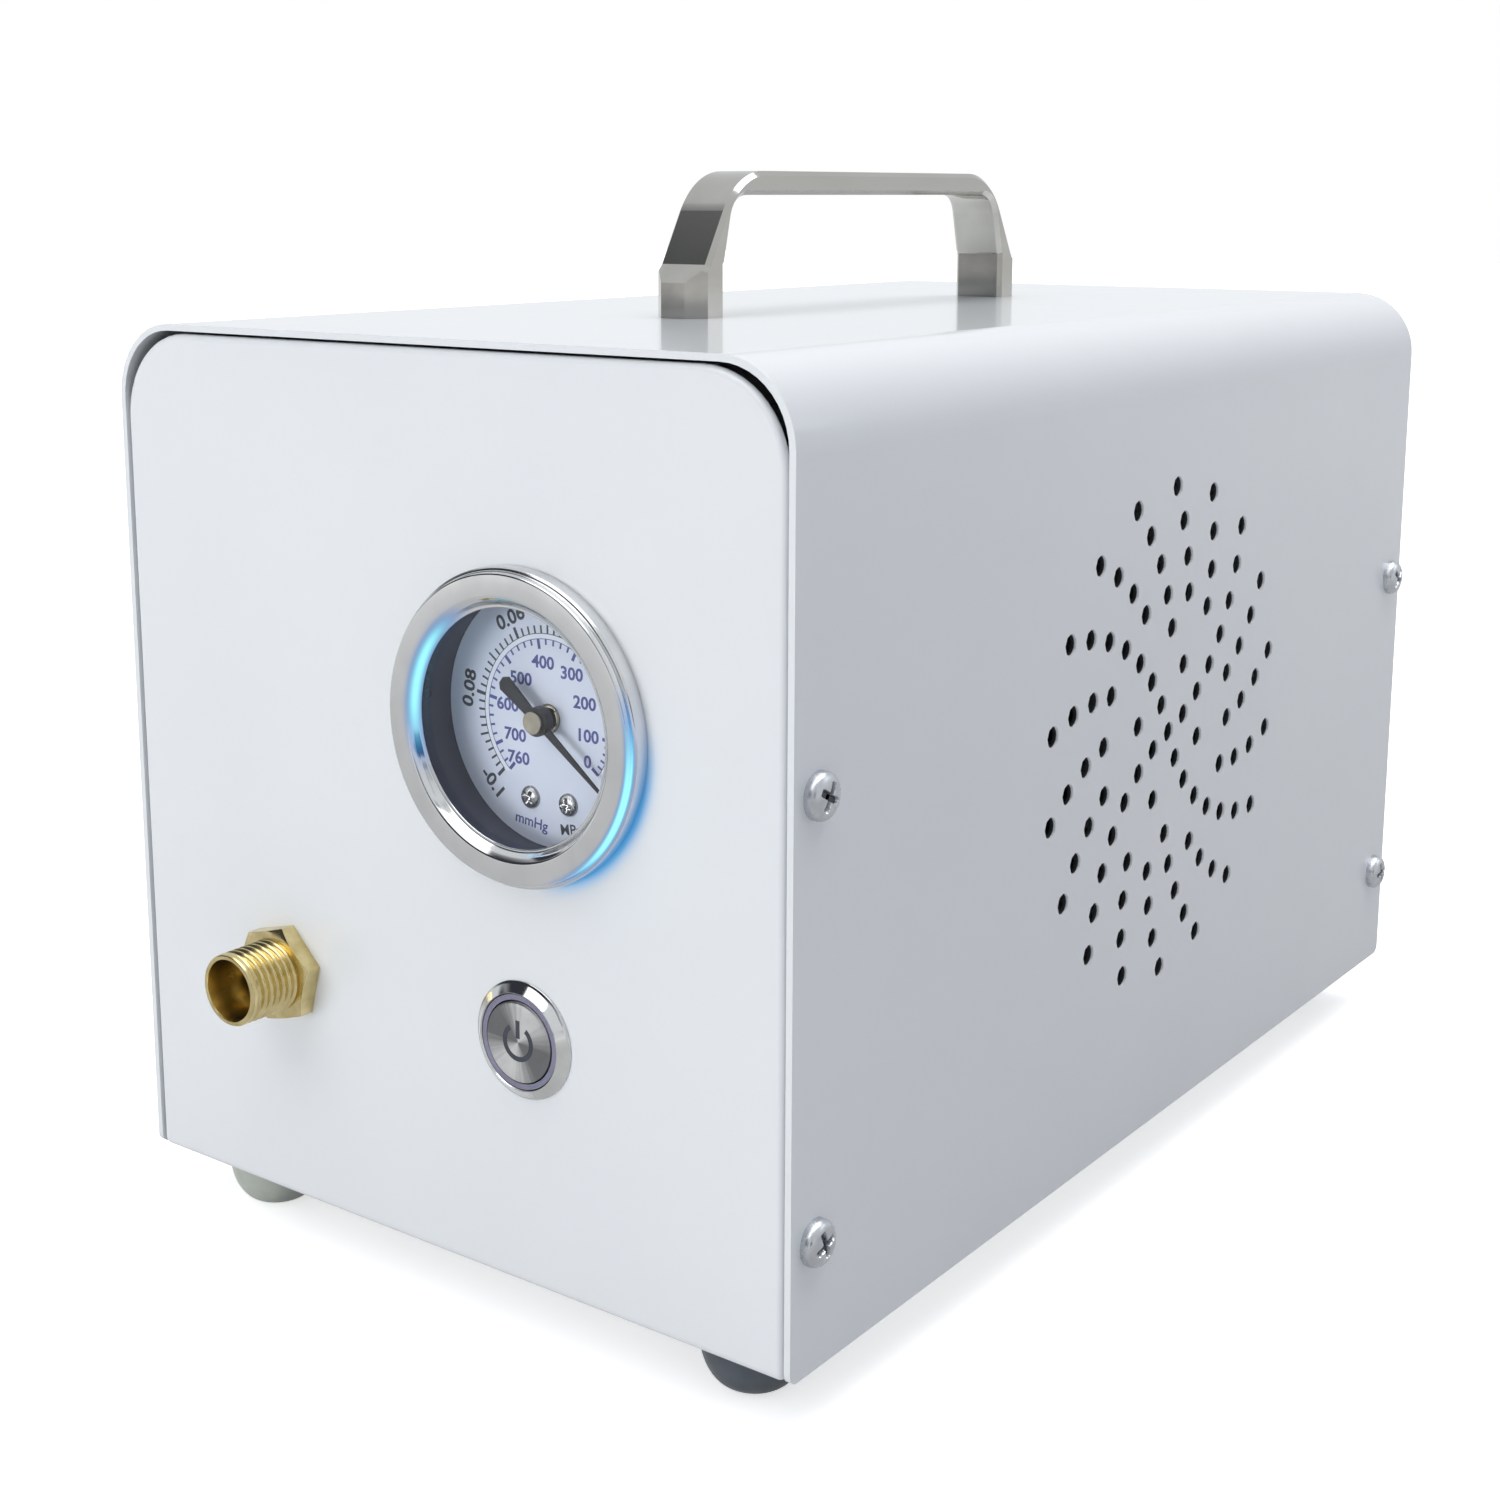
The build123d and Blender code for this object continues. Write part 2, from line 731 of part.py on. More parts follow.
def gauge_socket():
    """Brass block in the case that carries the movement and the tube, with a barbed stem."""
    near = front + block_near
    wall = gauge_back - gauge_wall
    low = gauge_z - gauge_inner + dial_ledge + socket_gap
    block = along_y(
        Pos(gauge_x, (low + gauge_z + bulkhead_radius) / 2)
        * Rectangle(socket_block, gauge_z + bulkhead_radius - low),
        near, wall,
    )
    boss = along_y(
        Pos(gauge_x, (low + gauge_z - dial_screw_drop - seat) / 2)
        * Rectangle(socket_boss, gauge_z - dial_screw_drop - seat - low),
        front + plate_far - tube_width, near,
    )
    stem_end = gauge_back + stem_length
    stem = round_y(bulkhead_radius, wall, stem_end, gauge_x, gauge_z)
    return block + boss + stem + barb_y(stem_end, 1, gauge_x, gauge_z)


def gauge_clamp():
    """U-shaped strap over the back of the gauge that pulls its bezel onto the panel."""
    half = gauge_radius + gauge_clamp_gap + sheet
    near = front + sheet
    far = gauge_back
    band = Rectangle(2 * half, far + sheet - near) - Pos(0, -sheet) * Rectangle(
        2 * half - 2 * sheet, far + sheet - near
    )
    strap = along_z(
        Pos(gauge_x, (near + far + sheet) / 2) * band,
        gauge_z - gauge_clamp_width / 2,
        gauge_z + gauge_clamp_width / 2,
    )
    return strap - round_y(bulkhead_radius + seat, near, far + 2 * sheet, gauge_x, gauge_z)


def barb_points(start, side):
    """Radius and place of a hose barb's outline, from its root at start outwards to one side."""
    third = barb_length / 3
    points = [(0, start), (barb_radius, start)]
    for step in range(3):
        near = start + side * third * step
        points.append((barb_radius, near + side * third * 0.1))
        points.append((barb_radius - barb_step, near + side * third))
    points.append((0, start + side * barb_length))
    return points


def barb_y(start, side, x, z):
    return turned_y(barb_points(start, side), x, z)


def barb_z(start, side, x, y):
    return turned_z(barb_points(start, side), x, y)


def barb_x(start, side, y, z):
    return turned_x([(place, radius) for radius, place in barb_points(start, side)], y, z)


def switch_body():
    """Metal bezel with a bevelled rim, and the threaded barrel behind it."""
    rim = front - switch_bezel_height
    barrel_end = front + switch_length
    return turned_y([
        (ring_outer + seat, rim),
        (switch_bezel - switch_rim - switch_bevel, rim),
        (switch_bezel - switch_rim, front - 2 * switch_rim),
        (switch_bezel, front - switch_rim),
        (switch_bezel, front),
        (switch_barrel, front),
        (switch_barrel, barrel_end),
        (ring_outer + seat, barrel_end),
    ], switch_x, switch_z)


def switch_light_ring():
    near = front - switch_bezel_height + ring_drop
    ring = round_y(ring_outer, near, front + ring_depth, switch_x, switch_z)
    return ring - round_y(ring_inner, near - 1, front + ring_depth + 1, switch_x, switch_z)


def switch_button():
    """Metal cap and the plunger behind it, which is pressed towards the panel."""
    face = front - switch_bezel_height
    cap = turned_y([
        (0, face),
        (ring_inner - button_gap - button_edge, face),
        (ring_inner - button_gap, face + button_edge),
        (ring_inner - button_gap, face + button_cap),
        (0, face + button_cap),
    ], switch_x, switch_z)
    cap_back = face + button_cap
    return cap + round_y(plunger_radius, cap_back, cap_back + plunger_length, switch_x, switch_z)


def switch_base():
    """Plastic contact block in the barrel's end, under the plunger and its light ring."""
    start = front + ring_depth
    pressed = button_cap - switch_bezel_height + plunger_length + button_travel
    well_end = front + max(pressed + contact_gap, ring_depth)
    well = round_y(plunger_radius + contact_wall_gap, front, well_end, switch_x, switch_z)
    return round_y(ring_outer, start, front + switch_length + base_reach, switch_x, switch_z) - well


def switch_terminals():
    """Four flat terminals behind the contact block."""
    middle = front + switch_length + base_reach + terminal_length / 2
    blade = Box(terminal_thickness, terminal_length, terminal_width)
    blades = []
    for side in (-1, 1):
        for level in (-1, 1):
            place = Pos(switch_x + side * terminal_x, middle, switch_z + level * terminal_z)
            blades.append(place * blade)
    return Compound(children=blades)


def switch_nut():
    near = front + sheet
    nut = along_y(hexagon(switch_nut_flats, switch_x, switch_z), near, near + nut_thickness)
    return nut - round_y(switch_barrel, near - 1, near + nut_thickness + 1, switch_x, switch_z)


def inlet_nipple():
    """Brass bulkhead nipple: hexagon on the panel, threaded end outside, barbed end inside."""
    hex_front = front - nipple_hex_height
    tip = front - nipple_reach
    body = along_y(hexagon(nipple_hex, nipple_x, nipple_z, nipple_hex_turn), hex_front, front)
    body += turned_y([
        (0, hex_front),
        (nipple_thread, hex_front),
        (nipple_thread, tip + nipple_chamfer),
        (nipple_thread - nipple_chamfer * 0.6, tip),
        (0, tip),
    ], nipple_x, nipple_z)
    body += round_y(bulkhead_radius, front, front + bulkhead_length, nipple_x, nipple_z)
    body += barb_y(front + bulkhead_length, 1, nipple_x, nipple_z)
    body -= round_y(nipple_bore, tip - 1, front - nipple_floor, nipple_x, nipple_z)
    passage_end = front + bulkhead_length + barb_length + 1
    return body - round_y(bulkhead_passage, tip, passage_end, nipple_x, nipple_z)


def lock_nuts():
    """Three like nuts: on the inlet nipple, the silencer and the gauge's stem."""
    places = (
        (nipple_x, nipple_z, front + sheet),
        (nipple_x, exhaust_z, back - sheet - nut_thickness),
        (gauge_x, gauge_z, gauge_back + sheet),
    )
    nuts = []
    for x, z, near in places:
        nut = along_y(hexagon(bulkhead_nut_flats, x, z), near, near + nut_thickness)
        nuts.append(nut - round_y(bulkhead_radius, near - 1, near + nut_thickness + 1, x, z))
    return Compound(children=nuts)


def tee_y():
    """Where the tee stands: right under the intake hose's bend."""
    return head_front - barb_length - hose_bend


def vacuum_tee():
    """Block with three barbs: from the nipple, to the gauge and up to the pump."""
    y = tee_y()
    half = tee_size / 2
    body = Pos(nipple_x, y, nipple_z) * Box(tee_size, tee_size, tee_size)
    body += barb_y(y - half, -1, nipple_x, nipple_z)
    body += barb_x(nipple_x + half, 1, y, nipple_z)
    return body + barb_z(nipple_z + half, 1, nipple_x, y)


def hose(route, first_plane):
    """A hose carried along a route of straight runs and arcs."""
    ring = Circle(hose_radius) - Circle(barb_radius)
    return sweep(first_plane * ring, path=route)


def nipple_hose():
    y = tee_y()
    start = front + bulkhead_length
    return along_y(
        Pos(nipple_x, nipple_z) * (Circle(hose_radius) - Circle(barb_radius)), start, y - tee_size / 2
    )


def intake_hose():
    """From the tee straight up, then back into the pump head's lower port."""
    y = tee_y()
    low = nipple_z + tee_size / 2
    bend = intake_z - hose_bend
    run = Line((nipple_x, y, low), (nipple_x, y, bend))
    turn = ThreePointArc(
        (nipple_x, y, bend),
        (nipple_x, y + hose_bend * (1 - math.sqrt(0.5)), bend + hose_bend * math.sqrt(0.5)),
        (nipple_x, y + hose_bend, intake_z),
    )
    end = Line((nipple_x, y + hose_bend, intake_z), (nipple_x, head_front, intake_z))
    plane = Plane(origin=(nipple_x, y, low), z_dir=(0, 0, 1))
    return hose(Wire([run.edge(), turn.edge(), end.edge()]), plane)


def gauge_hose():
    """From the tee across to the gauge's side, up, and forward onto the gauge's stem."""
    y = tee_y()
    start = nipple_x + tee_size / 2
    stem = gauge_back + stem_length
    bend = y - (stem + barb_length)
    corner = math.sqrt(0.5)
    across = Line((start, y, nipple_z), (gauge_x - bend, y, nipple_z))
    lower = ThreePointArc(
        (gauge_x - bend, y, nipple_z),
        (gauge_x - bend * (1 - corner), y, nipple_z + bend * (1 - corner)),
        (gauge_x, y, nipple_z + bend),
    )
    up = Line((gauge_x, y, nipple_z + bend), (gauge_x, y, gauge_z - bend))
    upper = ThreePointArc(
        (gauge_x, y, gauge_z - bend),
        (gauge_x, y - bend * (1 - corner), gauge_z - bend * (1 - corner)),
        (gauge_x, y - bend, gauge_z),
    )
    end = Line((gauge_x, y - bend, gauge_z), (gauge_x, stem, gauge_z))
    plane = Plane(origin=(start, y, nipple_z), z_dir=(1, 0, 0))
    return hose(Wire([piece.edge() for piece in (across, lower, up, upper, end)]), plane)


def exhaust_port_y():
    return (plate_front + head_front) / 2


def exhaust_hose():
    """From the pump head's top, up and back over the motor to the silencer."""
    y = exhaust_port_y()
    low = crank_z + head_size / 2
    bend = exhaust_bend
    corner = math.sqrt(0.5)
    up = Line((nipple_x, y, low), (nipple_x, y, exhaust_z - bend))
    turn = ThreePointArc(
        (nipple_x, y, exhaust_z - bend),
        (nipple_x, y + bend * (1 - corner), exhaust_z - bend * (1 - corner)),
        (nipple_x, y + bend, exhaust_z),
    )
    end = Line((nipple_x, y + bend, exhaust_z), (nipple_x, back - bulkhead_length, exhaust_z))
    plane = Plane(origin=(nipple_x, y, low), z_dir=(0, 0, 1))
    return hose(Wire([up.edge(), turn.edge(), end.edge()]), plane)


def motor_can():
    can = round_x(motor_radius, motor_left, motor_right, crank_y, crank_z)
    return can - round_x(motor_radius - motor_wall, motor_left - 1, motor_right + 1, crank_y, crank_z)


def end_bell(side):
    """Cast end of the motor: a disc with a spigot in the can and a boss for the bearing."""
    face = motor_left if side < 0 else motor_right
    spigot = motor_radius - motor_wall
    return turned_x([
        (face + side * bell_thickness, bearing_radius),
        (face + side * bell_thickness, motor_radius - bell_edge),
        (face + side * (bell_thickness - bell_edge), motor_radius),
        (face, motor_radius),
        (face, spigot),
        (face - side * spigot_length, spigot),
        (face - side * spigot_length, spigot - spigot_wall),
        (face, spigot - spigot_wall),
        (face, bearing_radius + bearing_boss),
        (face - side * (bearing_width - bell_thickness), bearing_radius + bearing_boss),
        (face - side * (bearing_width - bell_thickness), bearing_radius),
    ], crank_y, crank_z)


def motor_bearings():
    """Two ball bearings' rings, as plain rings, in the end bells."""
    rings = []
    for side, face in ((-1, motor_left), (1, motor_right)):
        outer = face + side * bell_thickness
        start, end = sorted((outer, outer - side * bearing_width))
        ring = round_x(bearing_radius, start, end, crank_y, crank_z)
        rings.append(ring - round_x(shaft_radius + fit, start - 1, end + 1, crank_y, crank_z))
    return Compound(children=rings)


def motor_stator():
    """Laminated stack in the can with its two rings of windings."""
    middle = (motor_left + motor_right) / 2
    bore = rotor_radius + air_gap
    outer = motor_radius - motor_wall
    half = stack_length / 2
    end = half + coil_length
    coil_bore = bore + coil_inset
    coil_outer = outer - coil_inset
    return turned_x([
        (middle - half, bore),
        (middle - half, coil_bore),
        (middle - end, coil_bore + 1),
        (middle - end, coil_outer - 2),
        (middle - half, coil_outer),
        (middle - half, outer),
        (middle + half, outer),
        (middle + half, coil_outer),
        (middle + end, coil_outer - 2),
        (middle + end, coil_bore + 1),
        (middle + half, coil_bore),
        (middle + half, bore),
    ], crank_y, crank_z)


def motor_rotor():
    middle = (motor_left + motor_right) / 2
    start = middle - rotor_length / 2
    rotor = round_x(rotor_radius, start, start + rotor_length, crank_y, crank_z)
    return rotor - round_x(shaft_radius, start - 1, start + rotor_length + 1, crank_y, crank_z)


def fan_start():
    return motor_right + bell_thickness + fan_gap


def motor_shaft():
    """Shaft from the eccentric's far face, through both bearings, to the fan's hub."""
    start = pump_x - journal_width / 2
    return round_x(shaft_radius, start, fan_start() + fan_width, crank_y, crank_z)


def cooling_fan():
    """Seven flat blades, turned to their pitch, round a hub on the shaft."""
    start = fan_start()
    middle = start + fan_width / 2
    hub = round_x(fan_hub, start, start + fan_width, crank_y, crank_z)
    length = fan_radius - fan_hub + fan_root
    chord = fan_width / math.cos(math.radians(fan_pitch)) * fan_chord
    blade = Pos(0, 0, fan_radius - length / 2) * Rot(0, 0, fan_pitch) * Box(
        chord, fan_blade_thickness, length
    )
    blade &= Rot(0, 90, 0) * Cylinder(fan_radius, fan_width * 2)
    for step in range(fan_blades):
        hub += Pos(middle, crank_y, crank_z) * Rot(360 / fan_blades * step, 0, 0) * blade
    return hub - round_x(shaft_radius, start - 1, start + fan_width + 1, crank_y, crank_z)


def crankcase():
    """Cast drum round the crank, with a neck to the square face that carries the head."""
    left = pump_x - pump_half
    right = motor_left - bell_thickness
    drum = round_x(crankcase_radius, left, right, crank_y, crank_z)
    neck = round_y(neck_radius, mount_face, crank_y, pump_x, crank_z)
    drum += neck & round_x(head_distance, left, right, crank_y, crank_z)
    drum += along_y(
        Pos(pump_x, crank_z) * RectangleRounded(head_size, head_size, head_screw_inset),
        mount_face, mount_face + mount_thickness,
    )
    inner = crankcase_radius - crankcase_wall
    drum -= round_x(inner, left - 1, right - crankcase_wall, crank_y, crank_z)
    drum -= round_y(neck_bore, mount_face - 1, crank_y, pump_x, crank_z)
    drum -= round_x(bearing_radius + 1, right - crankcase_wall - 1, right + 1, crank_y, crank_z)
    for x, z in head_screw_places():
        drum -= round_y(head_thread / 2 + seat, mount_face - 1, mount_face + mount_thickness + 1, x, z)
    return drum


def crankcase_cover():
    left = pump_x - pump_half
    lid = round_x(crankcase_radius, left - crankcase_lid, left, crank_y, crank_z)
    return chamfer(lid.edges().group_by(Axis.X)[0], cast_edge)


def eccentric():
    """Journal off the shaft's axis, with its counterweight on the far side."""
    middle = pump_x
    start = middle - journal_width / 2
    end = middle + journal_width / 2
    body = round_x(journal_radius, start, end, crank_y - throw, crank_z)
    weight = Pos(crank_y, crank_z) * (
        Circle(counterweight_radius)
        - Pos(-counterweight_radius) * Rectangle(2 * counterweight_radius, 2 * counterweight_radius)
    )
    weight += Pos(crank_y - throw, crank_z) * Circle(journal_radius)
    body += along_x(weight, end, end + counterweight_width)
    return body - round_x(shaft_radius, start - 1, end + counterweight_width + 1, crank_y, crank_z)


def rod_bearing():
    start = pump_x - rod_width / 2
    ring = round_x(rod_bearing_radius, start, start + rod_width, crank_y - throw, crank_z)
    return ring - round_x(journal_radius + fit, start - 1, start + rod_width + 1, crank_y - throw, crank_z)


def connecting_rod():
    """Big end round the rod bearing and a straight shank to the clamp disc's seat."""
    y = crank_y - throw
    start = pump_x - rod_width / 2
    body = round_x(rod_ring, start, start + rod_width, y, crank_z)
    seat_y = mount_face - throw
    shank = Pos(pump_x, (seat_y + y) / 2, crank_z) * Box(rod_width, y - seat_y, rod_depth)
    body += shank
    return body - round_x(rod_bearing_radius, start - 1, start + rod_width + 1, y, crank_z)


def clamp_disc():
    """Disc on the rod's end, at the middle of the diaphragm, with its screw's head."""
    far = mount_face - throw
    disc = round_y(clamp_radius, far - clamp_thickness, far, pump_x, crank_z)
    return chamfer(disc.edges().group_by(Axis.Y)[0], cast_edge)


def diaphragm():
    """Rubber ring clamped between the crankcase and the valve plate."""
    clear = clamp_radius + throw + flex_gap
    ring = round_y(diaphragm_radius, plate_back, mount_face, pump_x, crank_z)
    ring -= round_y(clear, plate_back - 1, mount_face + 1, pump_x, crank_z)
    return ring


def head_screw_places():
    reach = head_size / 2 - head_screw_inset
    return [(pump_x + i * reach, crank_z + k * reach) for i in (-1, 1) for k in (-1, 1)]


def head_block(start, end):
    block = along_y(
        Pos(pump_x, crank_z) * RectangleRounded(head_size, head_size, head_screw_inset), start, end
    )
    for x, z in head_screw_places():
        block -= round_y(head_thread / 2 + seat, start - 1, end + 1, x, z)
    return block


def valve_plate():
    """Plate with the pumping chamber on one side and a port to each valve."""
    plate = head_block(plate_front, plate_back)
    plate -= round_y(chamber_radius, plate_back - chamber_depth, plate_back + 1, pump_x, crank_z)
    for side in (-1, 1):
        z = crank_z + side * port_spread
        plate -= round_y(port_radius, plate_front - 1, plate_back, pump_x, z)
    return plate


def reed_valves():
    reeds = []
    for side in (-1, 1):
        z = crank_z + side * port_spread
        reeds.append(round_y(reed_radius, plate_front - reed_thickness, plate_front, pump_x, z))
    return Compound(children=reeds)


def pump_head():
    """Cast cover with the intake and the exhaust chamber, cooling fins and two barbs."""
    head = head_block(head_front, plate_front)
    for side in (-1, 1):
        room = Pos(0, side * (head_size - head_wall) / 4) * RectangleRounded(
            head_size - 4 * head_screw_inset, (head_size - 3 * head_wall) / 2, room_corner
        )
        head -= along_y(Pos(pump_x, crank_z) * room, head_front + head_wall, plate_front)
    for step in (-2, -1, 1, 2):
        place = Pos(pump_x + step * head_size / 6, head_front + fin_depth / 2, crank_z)
        head -= place * Box(fin_slot, fin_depth, head_size)
    head += barb_y(head_front, -1, nipple_x, intake_z)
    return head + barb_z(crank_z + head_size / 2, 1, nipple_x, exhaust_port_y())


def head_screws():
    """Four socket-head screws through the head, the plate and the crankcase's face."""
    end = mount_face + mount_thickness
    screws = []
    for x, z in head_screw_places():
        head = round_y(head_screw_head, head_front - head_screw_cap, head_front, x, z)
        screws.append(head + round_y(head_thread / 2, head_front, end, x, z))
    return Compound(children=screws)


def isolator_places():
    inset = isolator_radius + isolator_inset
    xs = (base_left + inset, base_right - inset)
    ys = (crank_y - base_depth / 2 + inset, crank_y + base_depth / 2 - inset)
    return [(x, y) for x in xs for y in ys]


def isolators():
    """Four rubber mounts between the case's floor and the pump's base."""
    mounts = []
    for x, y in isolator_places():
        mount = round_z(isolator_radius, deck, base_z, x, y)
        stud_top = base_z + base_plate + isolator_stud
        mounts.append(mount + round_z(foot_thread / 2, base_z, stud_top, x, y))
    return Compound(children=mounts)


def motor_base():
    """Plate on the isolators with saddles under the crankcase and the motor."""
    middle = (base_left + base_right) / 2
    plate = Box(base_right - base_left, base_depth, base_plate)
    body = Pos(middle, crank_y, base_z + base_plate / 2) * plate
    for x, y in isolator_places():
        body -= round_z(foot_thread / 2 + seat, base_z - 1, base_z + base_plate + 1, x, y)
    for x, radius in (
        (pump_x - saddle_thickness / 2, crankcase_radius),
        (motor_left + saddle_inset, motor_radius),
        (motor_right - saddle_inset - saddle_thickness, motor_radius),
    ):
        low = base_z + base_plate
        high = crank_z - saddle_wrap
        plate = Pos(crank_y, (low + high) / 2) * Rectangle(saddle_width, high - low)
        body += along_x(plate - Pos(crank_y, crank_z) * Circle(radius), x, x + saddle_thickness)
    return body - round_y(neck_radius + hole_clearance, mount_face, crank_y, pump_x, crank_z)


def exhaust_silencer():
    """Sintered silencer outside the back panel, threaded shank and barb inside."""
    end = back + silencer_reach
    body = along_y(hexagon(silencer_hex, nipple_x, exhaust_z), back, back + silencer_hex_height)
    body += turned_y([
        (0, back + silencer_hex_height),
        (silencer_radius, back + silencer_hex_height),
        (silencer_radius, end - silencer_dome),
        (silencer_radius * 0.7, end - silencer_dome * 0.25),
        (silencer_radius * 0.3, end),
        (0, end),
    ], nipple_x, exhaust_z)
    body += round_y(bulkhead_radius, back - bulkhead_length, back, nipple_x, exhaust_z)
    return body + barb_y(back - bulkhead_length, -1, nipple_x, exhaust_z)


def power_inlet():
    """Mains inlet: a flange on the back panel and a body through it, with the plug's recess."""
    flange = Pos(power_x, power_z) * RectangleRounded(
        power_flange_width, power_flange_height, power_corner
    )
    for side in (-1, 1):
        flange -= Pos(power_x + side * power_screw_pitch / 2, power_z) * Circle(power_thread / 2 + seat)
    shell = along_y(flange, back, back + power_flange)
    body = Pos(power_x, power_z) * Rectangle(power_body_width, power_body_height)
    shell += along_y(body, back - power_body_depth, back)
    recess = Rectangle(socket_width, socket_height)
    recess = chamfer(recess.vertices().group_by(Axis.Y)[-1], socket_corner)
    outer = back + power_flange
    shell -= along_y(Pos(power_x, power_z) * recess, outer - socket_depth, outer + 1)
    for x, z in pin_places():
        hole = Pos(x, z) * Rectangle(pin_width + 2 * seat, pin_height + 2 * seat)
        shell -= along_y(hole, back - power_body_depth - 1, outer)
    return shell


def pin_places():
    places = [(power_x + side * pin_spread, power_z - pin_offset) for side in (-1, 1)]
    return places + [(power_x, power_z + pin_offset)]


def inlet_pins():
    """Three flat pins in the recess, with their tails behind the body."""
    near = back - power_body_depth - pin_tail
    far = back + power_flange - socket_depth + pin_length
    pins = [along_y(Pos(x, z) * Rectangle(pin_width, pin_height), near, far) for x, z in pin_places()]
    return Compound(children=pins)


def inlet_screws():
    screws = []
    outer = back + power_flange
    end = outer - power_flange - power_screw_length
    for side in (-1, 1):
        x = power_x + side * power_screw_pitch / 2
        screw = turned_y([
            (0, outer),
            (power_thread, outer),
            (power_thread * 0.8, outer + power_screw_height * 0.7),
            (power_thread * 0.3, outer + power_screw_height),
            (0, outer + power_screw_height),
        ], x, power_z)
        screws.append(screw + round_y(power_thread / 2, end, outer, x, power_z))
    return Compound(children=screws)


parts = {
    "cover": cover,
    "chassis": chassis,
    "side_screws": side_screws,
    "handle": handle,
    "handle_screws": handle_screws,
    "foot_screws": foot_screws,
    "gauge_bezel": gauge_bezel,
    "gauge_glass": gauge_glass,
    "gauge_case": gauge_case,
    "gauge_dial": gauge_dial,
    "gauge_dial_screws": gauge_dial_screws,
    "gauge_movement": gauge_movement,
    "gauge_pointer": gauge_pointer,
    "gauge_arbor": gauge_arbor,
    "gauge_sector": gauge_sector,
    "gauge_tube": gauge_tube,
    "gauge_socket": gauge_socket,
    "gauge_clamp": gauge_clamp,
    "switch_body": switch_body,
    "switch_light_ring": switch_light_ring,
    "switch_button": switch_button,
    "switch_base": switch_base,
    "switch_terminals": switch_terminals,
    "switch_nut": switch_nut,
    "inlet_nipple": inlet_nipple,
    "lock_nuts": lock_nuts,
    "vacuum_tee": vacuum_tee,
    "nipple_hose": nipple_hose,
    "intake_hose": intake_hose,
    "gauge_hose": gauge_hose,
    "exhaust_hose": exhaust_hose,
    "motor_can": motor_can,
    "motor_bearings": motor_bearings,
    "motor_stator": motor_stator,
    "motor_rotor": motor_rotor,
    "motor_shaft": motor_shaft,
    "cooling_fan": cooling_fan,
    "crankcase": crankcase,
    "crankcase_cover": crankcase_cover,
    "eccentric": eccentric,
    "rod_bearing": rod_bearing,
    "connecting_rod": connecting_rod,
    "clamp_disc": clamp_disc,
    "diaphragm": diaphragm,
    "valve_plate": valve_plate,
    "reed_valves": reed_valves,
    "pump_head": pump_head,
    "head_screws": head_screws,
    "isolators": isolators,
    "motor_base": motor_base,
    "exhaust_silencer": exhaust_silencer,
    "power_inlet": power_inlet,
    "inlet_pins": inlet_pins,
    "inlet_screws": inlet_screws,
}

os.makedirs("parts", exist_ok=True)
for name, make in parts.items():
    export_step(make(), f"parts/{name}.step")
for corner, (x, y) in foot_places.items():
    export_step(foot(x, y), f"parts/foot_{corner}.step")
for name, side in (("motor_front_bell", -1), ("motor_rear_bell", 1)):
    export_step(end_bell(side), f"parts/{name}.step")
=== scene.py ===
import json
import math

import bmesh
import bpy
import numpy as np
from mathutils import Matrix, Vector

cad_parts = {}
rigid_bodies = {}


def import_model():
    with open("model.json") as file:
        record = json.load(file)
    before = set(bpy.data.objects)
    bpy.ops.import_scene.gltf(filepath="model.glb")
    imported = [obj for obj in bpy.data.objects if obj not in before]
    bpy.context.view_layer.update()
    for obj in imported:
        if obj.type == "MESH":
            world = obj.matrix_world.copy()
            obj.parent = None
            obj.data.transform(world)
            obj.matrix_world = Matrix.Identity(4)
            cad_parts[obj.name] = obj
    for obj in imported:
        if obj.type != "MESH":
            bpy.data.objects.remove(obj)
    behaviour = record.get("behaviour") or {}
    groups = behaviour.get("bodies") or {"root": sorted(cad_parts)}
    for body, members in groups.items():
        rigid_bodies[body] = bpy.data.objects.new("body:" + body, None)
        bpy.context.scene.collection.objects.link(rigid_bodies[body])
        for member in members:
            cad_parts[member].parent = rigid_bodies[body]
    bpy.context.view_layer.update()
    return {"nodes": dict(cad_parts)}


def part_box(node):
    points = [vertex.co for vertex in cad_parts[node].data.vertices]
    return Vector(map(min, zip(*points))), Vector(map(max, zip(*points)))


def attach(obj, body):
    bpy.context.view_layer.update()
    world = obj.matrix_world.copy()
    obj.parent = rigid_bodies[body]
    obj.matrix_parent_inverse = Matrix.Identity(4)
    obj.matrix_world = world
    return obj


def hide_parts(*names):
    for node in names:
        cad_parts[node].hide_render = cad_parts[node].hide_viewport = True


mm = 0.001

for leftover in list(bpy.data.objects):
    bpy.data.objects.remove(leftover)
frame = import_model()
nodes = frame["nodes"]
print("frame loaded:", len(nodes), "nodes")

scene = bpy.context.scene
scene.view_settings.view_transform = "Standard"

# Places read from the frame, in millimetres


def nodeBox(name):
    low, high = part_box(name)
    return np.array(low) / mm, np.array(high) / mm


caseLow, caseHigh = nodeBox("cover")
bezelLow, bezelHigh = nodeBox("gauge_bezel")
switchLow, switchHigh = nodeBox("switch_body")
nippleLow, nippleHigh = nodeBox("inlet_nipple")
frontY = caseLow[1]
dialY = nodeBox("gauge_dial")[0][1]
gaugeAt = (bezelLow + bezelHigh) / 2
switchAt = (switchLow + switchHigh) / 2
nippleAt = (nippleLow + nippleHigh) / 2

# Each face's own directions: along it, up it and out of it
panelFrame = np.array([[1, 0, 0], [0, 0, 1], [0, -1, 0]], float)
rightFrame = np.array([[0, 1, 0], [0, 0, 1], [1, 0, 0]], float)
leftFrame = np.array([[0, -1, 0], [0, 0, 1], [-1, 0, 0]], float)

# The case's sides: the sign makes a place's y its distance along the side
sides = {
    "right": dict(face=rightFrame, sign=1, out=caseHigh[0]),
    "left": dict(face=leftFrame, sign=-1, out=-caseLow[0]),
}
weld = 0.002  # points this near to each other become one


